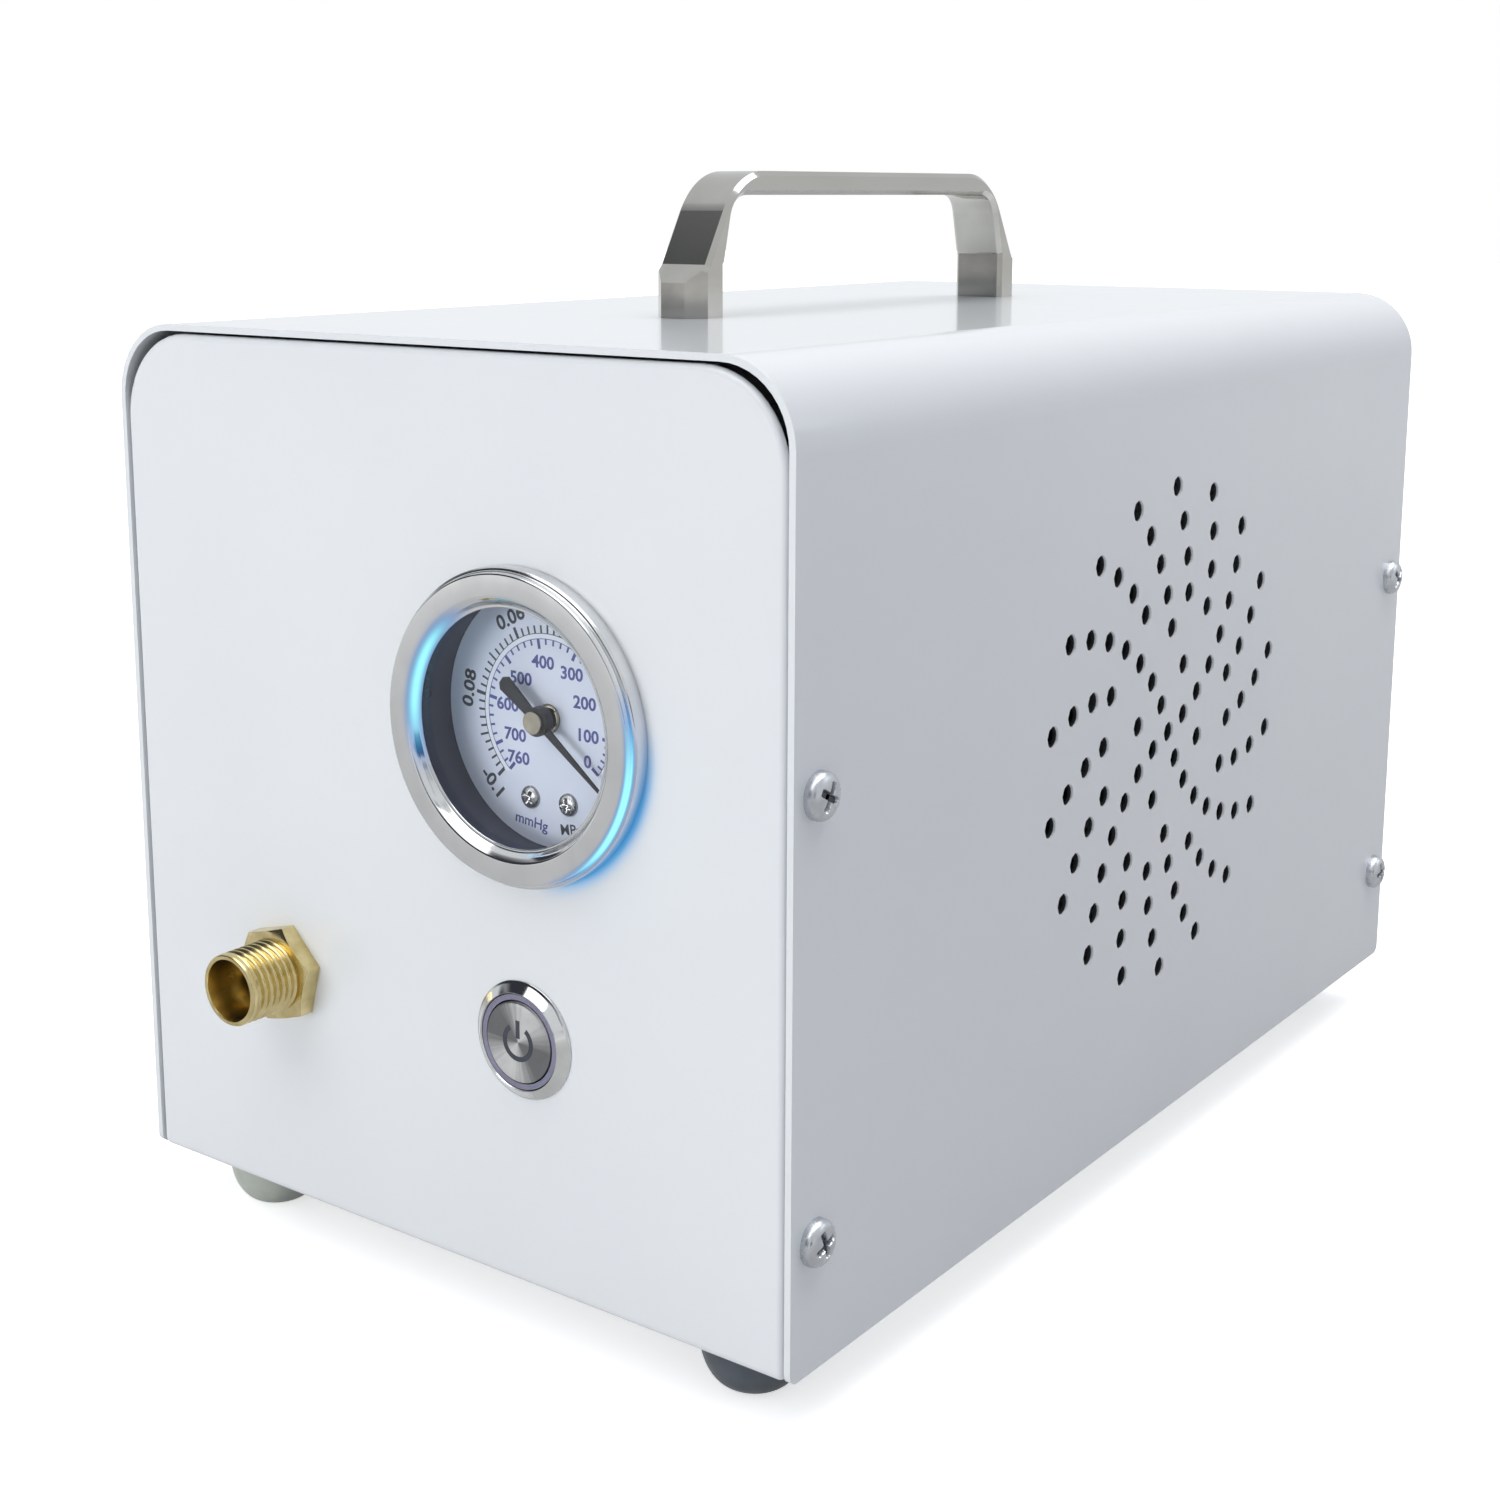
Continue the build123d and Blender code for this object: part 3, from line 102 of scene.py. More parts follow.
def smoothStep(low, high, x):
    t = np.clip((x - low) / (high - low), 0, 1)
    return t * t * (3 - 2 * t)


def onFace(points, face, origin):
    # A point is the origin plus its three local numbers times the face's three directions
    return np.asarray(points, float) @ face + np.asarray(origin, float)


def onPanel(middle, y=frontY):
    # The place straight in front of a piece's middle, on the front panel unless another y is given
    return np.array([middle[0], y, middle[2]])


def gridPart(grid):
    # Each quad of a grid joins a point with its neighbours one row and one column on
    points, closedRows, closedColumns = grid
    rows, columns = points.shape[:2]
    i = np.arange(rows if closedRows else rows - 1)
    j = np.arange(columns if closedColumns else columns - 1)
    i, j = (a.ravel() for a in np.meshgrid(i, j, indexing="ij"))
    k, m = (i + 1) % rows, (j + 1) % columns
    quads = np.stack([i * columns + j, i * columns + m, k * columns + m, k * columns + j], -1)
    return points.reshape(-1, 3), quads


def turned(profile, steps=96, closed=False):
    # A profile of (radius, height) carried round the local third direction; closed joins its ends
    profile = np.asarray(profile, float)
    angle = np.linspace(0, 2 * np.pi, steps, endpoint=False)
    radius, height = profile[:, :1], profile[:, 1:]
    points = np.stack([radius * np.cos(angle), radius * np.sin(angle), height + 0 * angle], -1)
    return points, closed, True


def rounded(profile, radius, steps=4, share=0.45):
    # Each inner corner of an open profile becomes a quadratic curve between points a radius away,
    # or a share of the side away where the side is short
    profile = np.asarray(profile, float)
    before = profile[:-2] - profile[1:-1]
    after = profile[2:] - profile[1:-1]
    reachBefore = np.linalg.norm(before, axis=1, keepdims=True)
    reachAfter = np.linalg.norm(after, axis=1, keepdims=True)
    start = profile[1:-1] + before * np.minimum(radius / reachBefore, share)
    end = profile[1:-1] + after * np.minimum(radius / reachAfter, share)
    t = np.linspace(0, 1, steps + 1)[None, :, None]
    curve = (1 - t) ** 2 * start[:, None] + 2 * t * (1 - t) * profile[1:-1, None] + t**2 * end[:, None]
    return np.vstack([profile[:1], curve.reshape(-1, 2), profile[-1:]])


def bars(start, end, width, low, high):
    # Thin boxes, one from each start to each end, as wide as width and from low to high
    start, end = np.atleast_2d(start), np.atleast_2d(end)
    along = (end - start) / np.linalg.norm(end - start, axis=1, keepdims=True)
    across = np.stack([-along[:, 1], along[:, 0]], -1) * np.reshape(width, (-1, 1)) / 2
    corners = np.stack([start - across, end - across, end + across, start + across], 1)
    levels = np.broadcast_to(np.array([low, high])[None, :, None, None], (len(start), 2, 4, 1))
    corners = np.broadcast_to(corners[:, None], (len(start), 2, 4, 2))
    points = np.concatenate([corners, levels], -1).reshape(-1, 3)
    box = np.array([[3, 2, 1, 0], [4, 5, 6, 7], [0, 1, 5, 4], [1, 2, 6, 5], [2, 3, 7, 6], [3, 0, 4, 7]])
    faces = (box[None] + 8 * np.arange(len(start))[:, None, None]).reshape(-1, 4)
    return points, faces


def meshOf(name, points, faces, merge=0.0, uv=None):
    mesh = bpy.data.meshes.new(name)
    mesh.from_pydata((np.asarray(points) * mm).tolist(), [], [list(map(int, face)) for face in faces])
    if uv is not None:
        mesh.uv_layers.new(name="wrap").data.foreach_set("uv", np.asarray(uv, float).ravel())
    if merge:
        shell = bmesh.new()
        shell.from_mesh(mesh)
        bmesh.ops.remove_doubles(shell, verts=shell.verts, dist=merge * mm)
        bmesh.ops.recalc_face_normals(shell, faces=shell.faces)
        shell.to_mesh(mesh)
        shell.free()
    mesh.update()
    return mesh


def addPiece(name, mesh, material, body, sharp=32, stands=()):
    piece = bpy.data.objects.new(name, mesh)
    scene.collection.objects.link(piece)
    mesh.materials.append(material)
    mesh.polygons.foreach_set("use_smooth", np.ones(len(mesh.polygons), bool))
    mesh.set_sharp_from_angle(angle=math.radians(sharp))
    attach(piece, body)
    if stands:
        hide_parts(*stands)


def shellOf(name, grids, face, origin):
    # Several grids of local points become one mesh, set on a face of the case
    points, faces = joined([gridPart(grid) for grid in grids])
    return meshOf(name, onFace(points, face, origin), faces, weld)


def moved(grid, along=0.0, up=0.0, out=0.0):
    # The same grid with three numbers added to each of its points
    points, closedRows, closedColumns = grid
    return points + np.array([along, up, out]), closedRows, closedColumns


def letters(words, look, at, turn=0.0):
    # One word as points and faces, centred on its own box, then turned and moved on its face
    curve = bpy.data.curves.new(words, "FONT")
    curve.body = words
    curve.size = look["size"]
    curve.offset = look["bold"]
    curve.extrude = look["thickness"] / 2
    curve.resolution_u = 3
    holder = bpy.data.objects.new(words, curve)
    scene.collection.objects.link(holder)
    mesh = bpy.data.meshes.new_from_object(holder.evaluated_get(bpy.context.evaluated_depsgraph_get()))
    points = np.empty(len(mesh.vertices) * 3)
    mesh.vertices.foreach_get("co", points)
    points = points.reshape(-1, 3)
    faces = [list(face.vertices) for face in mesh.polygons]
    bpy.data.objects.remove(holder)
    bpy.data.meshes.remove(mesh)
    points[:, :2] -= (points[:, :2].min(0) + points[:, :2].max(0)) / 2
    points[:, 0] *= look["wide"]
    c, s = math.cos(math.radians(turn)), math.sin(math.radians(turn))
    points[:, :2] = points[:, :2] @ np.array([[c, s], [-s, c]]) + at
    return points, faces


def joined(parts):
    # Several lists of points and faces as one
    points, faces, first = [], [], 0
    for somePoints, someFaces in parts:
        points.append(np.asarray(somePoints))
        faces += [[first + index for index in face] for face in someFaces]
        first += len(somePoints)
    return np.vstack(points), faces


def band(inner, outer, low, high, start, end, steps=96):
    # A flat arc of a square section between two angles in degrees, as a grid closed along its section
    angle = np.radians(np.linspace(start, end, steps))
    section = np.array([[inner, low], [outer, low], [outer, high], [inner, high]])
    radius, height = section[:, :1], section[:, 1:]
    points = np.stack([radius * np.cos(angle), radius * np.sin(angle), height + 0 * angle], -1)
    return points, True, False


# Shader node groups and finishes


def newGroup(name, inputs, outputs):
    group = bpy.data.node_groups.new(name, "ShaderNodeTree")
    for label, kind, value in inputs:
        socket = group.interface.new_socket(name=label, in_out="INPUT", socket_type=kind)
        socket.default_value = value
    for label, kind in outputs:
        group.interface.new_socket(name=label, in_out="OUTPUT", socket_type=kind)
    start = group.nodes.new("NodeGroupInput")
    end = group.nodes.new("NodeGroupOutput")
    return group, start, end


def mathNode(tree, operation, a, b=None):
    node = tree.nodes.new("ShaderNodeMath")
    node.operation = operation
    for socket, value in zip(node.inputs, (a, b)):
        if value is None:
            continue
        if isinstance(value, (int, float)):
            socket.default_value = value
        else:
            tree.links.new(value, socket)
    return node.outputs[0]


def vectorNode(tree, operation, a, b=None):
    node = tree.nodes.new("ShaderNodeVectorMath")
    node.operation = operation
    for socket, value in zip(node.inputs, (a, b)):
        if value is None:
            continue
        if isinstance(value, (tuple, list)):
            socket.default_value = value
        else:
            tree.links.new(value, socket)
    return node.outputs["Value"] if operation in ("DOT_PRODUCT", "LENGTH") else node.outputs["Vector"]


def objectPoint(tree):
    return tree.nodes.new("ShaderNodeTexCoord").outputs["Object"]


def spread(tree, value, low, high, fromLow=0.3, fromHigh=0.7):
    node = tree.nodes.new("ShaderNodeMapRange")
    tree.links.new(value, node.inputs["Value"])
    node.inputs["From Min"].default_value = fromLow
    node.inputs["From Max"].default_value = fromHigh
    node.inputs["To Min"].default_value = low
    node.inputs["To Max"].default_value = high
    return node.outputs["Result"]


def makeSurfaceGrain():
    # Fine grain over a slow cloud, both from noise on object coordinates, stretched by a vector
    group, start, end = newGroup(
        "surfaceGrain",
        [
            ("Grain Size", "NodeSocketFloat", 1.0),
            ("Cloud Size", "NodeSocketFloat", 20.0),
            ("Stretch", "NodeSocketVector", (1.0, 1.0, 1.0)),
        ],
        [("Grain", "NodeSocketFloat"), ("Cloud", "NodeSocketFloat")],
    )
    stretched = vectorNode(group, "MULTIPLY", objectPoint(group), start.outputs["Stretch"])
    for size, output, detail in (("Grain Size", "Grain", 2.0), ("Cloud Size", "Cloud", 3.0)):
        noise = group.nodes.new("ShaderNodeTexNoise")
        noise.inputs["Detail"].default_value = detail
        group.links.new(stretched, noise.inputs["Vector"])
        group.links.new(mathNode(group, "DIVIDE", 1 / mm, start.outputs[size]), noise.inputs["Scale"])
        group.links.new(noise.outputs["Fac"], end.inputs[output])
    return group


def makeGlowArc():
    # Painted light round a ring: high near one radius, towards one direction and in front of the back limit
    coreSharpness = 3.0  # the core is the mask to this power
    group, start, end = newGroup(
        "paintedLightArc",
        [
            ("Centre", "NodeSocketVector", (0.0, 0.0, 0.0)),
            ("Direction", "NodeSocketVector", (1.0, 0.0, 0.0)),
            ("Spread", "NodeSocketFloat", 0.3),
            ("Radius", "NodeSocketFloat", 0.02),
            ("Width", "NodeSocketFloat", 0.002),
            ("Back", "NodeSocketFloat", 0.0),
        ],
        [("Mask", "NodeSocketFloat"), ("Core", "NodeSocketFloat")],
    )
    away = vectorNode(group, "SUBTRACT", objectPoint(group), start.outputs["Centre"])
    flat = vectorNode(group, "MULTIPLY", away, (1.0, 0.0, 1.0))
    radius = vectorNode(group, "LENGTH", flat)
    reach = vectorNode(group, "DOT_PRODUCT", flat, start.outputs["Direction"])
    toward = mathNode(group, "DIVIDE", reach, radius)
    ramp = group.nodes.new("ShaderNodeMapRange")
    ramp.interpolation_type = "SMOOTHSTEP"
    group.links.new(toward, ramp.inputs["Value"])
    group.links.new(start.outputs["Spread"], ramp.inputs["From Min"])
    off = mathNode(group, "SUBTRACT", radius, start.outputs["Radius"])
    off = mathNode(group, "DIVIDE", off, start.outputs["Width"])
    squared = mathNode(group, "MULTIPLY", off, off)
    bell = mathNode(group, "POWER", math.e, mathNode(group, "MULTIPLY", squared, -1.0))
    depth = vectorNode(group, "DOT_PRODUCT", objectPoint(group), (0.0, 1.0, 0.0))
    inFront = mathNode(group, "LESS_THAN", depth, start.outputs["Back"])
    mask = mathNode(group, "MULTIPLY", mathNode(group, "MULTIPLY", ramp.outputs["Result"], bell), inFront)
    group.links.new(mask, end.inputs["Mask"])
    group.links.new(mathNode(group, "POWER", mask, coreSharpness), end.inputs["Core"])
    return group


def makeBrushedFan():
    # A painted highlight: two opposite bright wedges round the wrap's turn, broken up by streaks that run
    # from the middle out
    streakStrength = 0.9
    # The painted highlight runs from none at the dullest level to all of it at the brightest
    dullest, brightest = -0.2, 1.3  # levels with no sheen and with all of it
    group, start, end = newGroup(
        "paintedFanHighlight",
        [("Towards", "NodeSocketFloat", 0.0), ("Streaks", "NodeSocketFloat", 50.0)],
        [("Painted Highlight", "NodeSocketFloat")],
    )
    wrap = group.nodes.new("ShaderNodeUVMap")
    wrap.uv_map = "wrap"
    parts = group.nodes.new("ShaderNodeSeparateXYZ")
    group.links.new(wrap.outputs[0], parts.inputs[0])
    turn = mathNode(group, "SUBTRACT", parts.outputs[0], start.outputs["Towards"])
    wave = mathNode(group, "COSINE", mathNode(group, "MULTIPLY", turn, 4 * math.pi))
    streaks = group.nodes.new("ShaderNodeTexNoise")
    streaks.noise_dimensions = "1D"
    streaks.inputs["Detail"].default_value = 3.0
    group.links.new(parts.outputs[0], streaks.inputs["W"])
    group.links.new(start.outputs["Streaks"], streaks.inputs["Scale"])
    broken = mathNode(group, "MULTIPLY", streaks.outputs["Fac"], streakStrength)
    level = mathNode(group, "ADD", wave, broken)
    group.links.new(spread(group, level, 0.0, 1.0, dullest, brightest), end.inputs["Painted Highlight"])
    return group


surfaceGrain = makeSurfaceGrain()
paintedLightArc = makeGlowArc()
paintedFanHighlight = makeBrushedFan()


def blendColour(tree, factor, first, second, mode="MIX"):
    node = tree.nodes.new("ShaderNodeMix")
    node.data_type = "RGBA"
    node.blend_type = mode
    for socket, value in ((node.inputs[0], factor), (node.inputs[6], first), (node.inputs[7], second)):
        if isinstance(value, (int, float)):
            socket.default_value = value
        elif isinstance(value, tuple):
            socket.default_value = (*value, 1.0)
        else:
            tree.links.new(value, socket)
    return node.outputs[2]


def placeGroup(tree, group, values):
    node = tree.nodes.new("ShaderNodeGroup")
    node.node_tree = group
    for label, value in values.items():
        node.inputs[label].default_value = value
    return node


def makeFinish(name, look):
    # Colour and roughness drift with the cloud, and the grain lifts the surface a little
    material = bpy.data.materials.new(name)
    material.use_nodes = True
    tree = material.node_tree
    shader = tree.nodes["Principled BSDF"]
    grain = placeGroup(tree, surfaceGrain, {
        "Grain Size": look.get("grain", 1.0),
        "Cloud Size": look.get("cloud", 20.0),
        "Stretch": look.get("stretch", (1.0, 1.0, 1.0)),
    })
    mixBy = spread(tree, grain.outputs[look.get("tintBy", "Cloud")], 0.0, 1.0)
    tree.links.new(blendColour(tree, mixBy, look["colour"], look["tint"]), shader.inputs["Base Color"])
    tree.links.new(
        spread(tree, grain.outputs[look.get("roughBy", "Cloud")], *look["roughness"]),
        shader.inputs["Roughness"],
    )
    bump = tree.nodes.new("ShaderNodeBump")
    bump.inputs["Strength"].default_value = look.get("lift", 0.1)
    bump.inputs["Distance"].default_value = look.get("liftHeight", 0.05) * mm
    tree.links.new(grain.outputs["Grain"], bump.inputs["Height"])
    tree.links.new(bump.outputs["Normal"], shader.inputs["Normal"])
    shader.inputs["Metallic"].default_value = look.get("metallic", 0.0)
    shader.inputs["Coat Weight"].default_value = look.get("coat", 0.0)
    shader.inputs["Coat Roughness"].default_value = look.get("coatRoughness", 0.1)
    shader.inputs["Subsurface Weight"].default_value = look.get("soft", 0.0)
    shader.inputs["Subsurface Scale"].default_value = look.get("softDepth", 2.0) * mm
    return material


finishes = {
    "case_white": dict(
        colour=(0.79, 0.815, 0.835), tint=(0.77, 0.797, 0.82), roughness=(0.30, 0.36),
        grain=0.9, cloud=45.0, lift=0.12, liftHeight=0.03, coat=0.7, coatRoughness=0.09,
    ),
    "screw_zinc": dict(
        colour=(0.66, 0.68, 0.71), tint=(0.52, 0.54, 0.58), roughness=(0.22, 0.34), metallic=1.0,
        grain=0.35, cloud=2.5, lift=0.15, liftHeight=0.02,
    ),
    "handle_nickel": dict(
        colour=(0.55, 0.54, 0.505), tint=(0.47, 0.46, 0.43), roughness=(0.10, 0.16), metallic=1.0,
        grain=0.25, cloud=9.0, stretch=(1.0, 0.15, 1.0), lift=0.06, liftHeight=0.01,
    ),
    "foot_rubber": dict(
        colour=(0.10, 0.12, 0.14), tint=(0.075, 0.09, 0.11), roughness=(0.35, 0.5),
        grain=0.5, cloud=6.0, lift=0.1, liftHeight=0.02, soft=0.2,
    ),
    "bezel_chrome": dict(
        colour=(0.78, 0.785, 0.79), tint=(0.70, 0.71, 0.72), roughness=(0.08, 0.15), metallic=1.0,
        grain=0.3, cloud=7.0, lift=0.05, liftHeight=0.01,
    ),
    "gauge_black": dict(
        colour=(0.026, 0.033, 0.062), tint=(0.040, 0.048, 0.085), roughness=(0.25, 0.4),
        grain=0.4, cloud=8.0, lift=0.1, liftHeight=0.02,
    ),
    "dial_white": dict(
        colour=(0.74, 0.79, 0.90), tint=(0.71, 0.765, 0.88), roughness=(0.4, 0.5),
        grain=0.3, cloud=15.0, lift=0.04, liftHeight=0.01,
    ),
    "brass": dict(
        colour=(0.80, 0.68, 0.38), tint=(0.62, 0.50, 0.23), roughness=(0.16, 0.28), metallic=1.0,
        grain=0.3, cloud=3.0, lift=0.1, liftHeight=0.015,
    ),
    "pointer_black": dict(
        colour=(0.008, 0.009, 0.013), tint=(0.015, 0.016, 0.021), roughness=(0.35, 0.5),
        grain=0.3, cloud=3.0, lift=0.1, liftHeight=0.01,
    ),
    "bronze_tube": dict(
        colour=(0.50, 0.34, 0.17), tint=(0.36, 0.24, 0.12), roughness=(0.4, 0.6), metallic=0.9,
        grain=0.7, cloud=5.0, lift=0.8, liftHeight=0.25, tintBy="Grain", roughBy="Grain",
    ),
    "switch_steel": dict(
        colour=(0.78, 0.785, 0.785), tint=(0.68, 0.69, 0.69), roughness=(0.06, 0.12), metallic=1.0,
        grain=0.25, cloud=5.0, lift=0.05, liftHeight=0.01,
    ),
    "black_plastic": dict(
        colour=(0.025, 0.026, 0.028), tint=(0.035, 0.036, 0.039), roughness=(0.42, 0.55),
        grain=0.45, cloud=12.0, lift=0.35, liftHeight=0.04,
    ),
    "motor_paint": dict(
        colour=(0.05, 0.055, 0.065), tint=(0.07, 0.076, 0.088), roughness=(0.35, 0.5),
        grain=0.8, cloud=20.0, lift=0.2, liftHeight=0.04,
    ),
    "cast_alloy": dict(
        colour=(0.56, 0.57, 0.58), tint=(0.46, 0.47, 0.48), roughness=(0.42, 0.6), metallic=1.0,
        grain=0.8, cloud=10.0, lift=0.5, liftHeight=0.12,
    ),
    "ground_steel": dict(
        colour=(0.56, 0.56, 0.57), tint=(0.48, 0.48, 0.49), roughness=(0.22, 0.38), metallic=1.0,
        grain=0.3, cloud=8.0, stretch=(0.2, 1.0, 1.0), lift=0.2, liftHeight=0.02,
    ),
    "copper_coil": dict(
        colour=(0.60, 0.27, 0.12), tint=(0.42, 0.17, 0.07), roughness=(0.3, 0.45), metallic=0.9,
        grain=0.8, cloud=6.0, stretch=(1.0, 1.0, 3.0), lift=0.7, liftHeight=0.2, roughBy="Grain",
    ),
    "diaphragm_rubber": dict(
        colour=(0.022, 0.022, 0.023), tint=(0.035, 0.035, 0.036), roughness=(0.6, 0.75),
        grain=0.5, cloud=9.0, lift=0.3, liftHeight=0.04,
    ),
    "hose_clear": dict(
        colour=(0.62, 0.65, 0.64), tint=(0.55, 0.58, 0.57), roughness=(0.2, 0.32),
        grain=0.6, cloud=14.0, lift=0.08, liftHeight=0.03, soft=0.3,
    ),
}
materials = {slot: makeFinish(slot, look) for slot, look in finishes.items()}
print("finishes made:", len(materials))


def addGlow(material, look):
    # Each arc is painted light: it makes the surface glow in its colour, paler towards its core, and paints a
    # darker colour over the surface's own
    tree = material.node_tree
    shader = tree.nodes["Principled BSDF"]
    light = (0.0, 0.0, 0.0)
    base = shader.inputs["Base Color"].links[0].from_socket
    for arc in look["arcs"]:
        towards = math.radians(arc["towards"])
        glow = placeGroup(tree, paintedLightArc, {
            "Centre": tuple(gaugeAt * mm),
            "Direction": (math.cos(towards), 0.0, math.sin(towards)),
            "Spread": math.cos(math.radians(arc["reach"])),
            "Radius": arc["radius"] * mm,
            "Width": arc["width"] * mm,
            "Back": (frontY + look["behind"]) * mm,
        })
        shade = blendColour(tree, glow.outputs["Core"], look["colour"], look["core"])
        lit = blendColour(tree, glow.outputs["Mask"], (0.0, 0.0, 0.0), shade)
        light = blendColour(tree, 1.0, light, lit, "ADD")
        base = blendColour(tree, glow.outputs["Mask"], base, look["paintedBase"])
    tree.links.new(base, shader.inputs["Base Color"])
    tree.links.new(light, shader.inputs["Emission Color"])
    shader.inputs["Emission Strength"].default_value = look["strength"]
    return material


# Painted reflection of a blue light on the bezel: a glowing arc on the inner slope towards the upper left and
# one on the outer edge towards the lower right, each over a painted dark blue base
bezelPaintedLight = {
    "arcs": (
        dict(towards=161, reach=52, radius=21.15, width=1.2),
        dict(towards=-24, reach=52, radius=26.15, width=0.62),
    ),
    "colour": (0.0, 0.16, 0.52),
    "core": (0.38, 1.0, 1.0),
    "paintedBase": (0.04, 0.10, 0.22),
    "strength": 1.0,
    "behind": 0.5,  # of the panel's face, as far as the glow shows
}
# Painted blue light on the panel round the bezel's lower right: a glow over a painted blue base
panelPaintedLight = {
    "arcs": (dict(towards=-38, reach=50, radius=26.7, width=1.7),),
    "colour": (0.0, 0.08, 0.17),
    "core": (0.0, 0.12, 0.24),
    "paintedBase": (0.10, 0.42, 0.80),
    "strength": 1.0,
    "behind": 0.5,
}
bezelMaterial = addGlow(makeFinish("bezelChrome", finishes["bezel_chrome"]), bezelPaintedLight)
panelMaterial = addGlow(makeFinish("panelWhite", finishes["case_white"]), panelPaintedLight)


def makeGlass(name, look):
    # Clear to shadow and diffuse rays, so that the dial behind it stays lit
    material = makeFinish(name, look)
    tree = material.node_tree
    shader = tree.nodes["Principled BSDF"]
    shader.inputs["Transmission Weight"].default_value = 1.0
    shader.inputs["IOR"].default_value = look["ior"]
    clear = tree.nodes.new("ShaderNodeBsdfTransparent")
    path = tree.nodes.new("ShaderNodeLightPath")
    mix = tree.nodes.new("ShaderNodeMixShader")
    output = tree.nodes["Material Output"]
    lighting = mathNode(tree, "MAXIMUM", path.outputs["Is Shadow Ray"], path.outputs["Is Diffuse Ray"])
    tree.links.new(lighting, mix.inputs[0])
    tree.links.new(shader.outputs[0], mix.inputs[1])
    tree.links.new(clear.outputs[0], mix.inputs[2])
    tree.links.new(mix.outputs[0], output.inputs["Surface"])
    return material


glassLook = dict(
    colour=(0.97, 0.985, 1.0), tint=(0.95, 0.975, 1.0), roughness=(0.0, 0.015),
    grain=0.5, cloud=12.0, lift=0.01, liftHeight=0.002, ior=1.3,
)
glassMaterial = makeGlass("gaugeGlass", glassLook)

ringLook = dict(
    colour=(0.25, 0.25, 0.34), tint=(0.20, 0.20, 0.28), roughness=(0.25, 0.35),
    grain=0.4, cloud=4.0, lift=0.05, liftHeight=0.01, soft=0.3,
)
ringMaterial = makeFinish("switchRing", ringLook)

# Painted light: a paler, lit copy of the foot rubber for the front-left foot, which the lamps fall on
footPaintedLit = makeFinish("footPaintedLit", {
    **finishes["foot_rubber"], "colour": (0.62, 0.65, 0.58), "tint": (0.50, 0.53, 0.48),
})
hubBrass = makeFinish("hubBrass", {
    **finishes["brass"], "colour": (0.60, 0.56, 0.46), "tint": (0.42, 0.38, 0.29),
})
dialSteel = makeFinish("dialSteel", {
    **finishes["screw_zinc"], "colour": (0.50, 0.50, 0.50), "tint": (0.34, 0.34, 0.35),
})
special = {
    "foot_front_left": footPaintedLit,
    "gauge_arbor": hubBrass,
    "chassis": panelMaterial,
    "gauge_bezel": bezelMaterial,
    "gauge_glass": glassMaterial,
    "switch_light_ring": ringMaterial,
}
for name, node in nodes.items():
    for slot in node.material_slots:
        slot.material = special.get(name) or materials[slot.material.name.split(".")[0]]
print("nodes finished")

# The gauge's dial: its print, the bush behind the pointer and the screws

dialPrint = {
    "readings": (0, 100, 760),  # mmHg
    "angles": (-37.5, -9.0, 228.6),  # degrees from the right, counterclockwise; the first stretch is short
    "fullScale": 750.0,  # mmHg at 0.1 MPa
    "outerTicks": {
        "root": 14.5, "short": 15.8, "middle": 16.35, "long": 16.45,
        "count": 50, "middleEvery": 5, "longEvery": 10,
    },
    "innerTicks": {"root": 13.45, "short": 12.5, "long": 11.8, "every": 20, "longEvery": 100},
    "tickWidth": 0.38,
    "longTickWidth": 0.6,
    "line": 0.12,
    "pale": (13.6, 14.3),  # inner and outer radius of the band between the scales
    "height": 0.02,
    "outerWords": {"0.02": 0.2, "0.04": 0.4, "0.06": 0.6, "0.08": 0.8, "-0.1": 1.0},  # shares of the scale
    "outerText": {"radius": 18.3, "size": 3.5, "bold": 0.09, "thickness": 0.02, "wide": 1.12},
    "turnOver": -0.3,  # height over radius below which a number stands with its foot outwards
    "innerText": {"size": 3.0, "bold": 0.08, "thickness": 0.02, "wide": 1.1},
    "innerAt": {
        0: (8.4, -6.2), 100: (8.7, -1.8), 200: (7.9, 3.7), 300: (5.2, 8.3), 400: (-1.15, 9.5),
        500: (-6.1, 6.1), 600: (-9.2, 1.2), 700: (-7.6, -3.9), 760: (-6.9, -7.8),
    },
    "unitText": {"size": 2.6, "bold": 0.04, "thickness": 0.02, "wide": 1.05},
    "units": {"mmHg": dict(at=(-4.2, -18.9), turn=-6), "MPa": dict(at=(4.6, -18.6), turn=8)},
}
dialFace = onPanel(gaugeAt, dialY)


def readingAngle(value):
    # An angle between two named readings goes with the reading's share of the way between them
    return np.radians(np.interp(value, dialPrint["readings"], dialPrint["angles"]))


def tickBars(values, root, tips, widths):
    # One bar for each value, along its angle from the root radius to its tip's
    angle = readingAngle(values)
    along = np.stack([np.cos(angle), np.sin(angle)], -1)
    return bars(along * root, along * np.reshape(tips, (-1, 1)), widths, 0, dialPrint["height"])


def unitLetters(look, unit):
    return letters(unit, look["unitText"], **look["units"][unit])


def outerScale(look):
    # Ticks, the line along their roots, the numbers and their unit
    size = look["outerTicks"]
    step = np.arange(size["count"] + 1)
    long, middle = step % size["longEvery"] == 0, step % size["middleEvery"] == 0
    tips = np.where(long, size["long"], np.where(middle, size["middle"], size["short"]))
    widths = np.where(long, look["longTickWidth"], look["tickWidth"])
    first, last = np.degrees(readingAngle([0, look["fullScale"]]))
    parts = [
        tickBars(step * look["fullScale"] / size["count"], size["root"], tips, widths),
        gridPart(band(size["root"] - look["line"], size["root"], 0, look["height"], first, last)),
    ]
    text = look["outerText"]
    for words, share in look["outerWords"].items():
        angle = float(readingAngle(share * look["fullScale"]))
        turn = math.degrees(angle) + (90 if math.sin(angle) < look["turnOver"] else -90)
        at = text["radius"] * np.array([math.cos(angle), math.sin(angle)])
        parts.append(letters(words, text, at, turn))
    return [*parts, unitLetters(look, "MPa")]


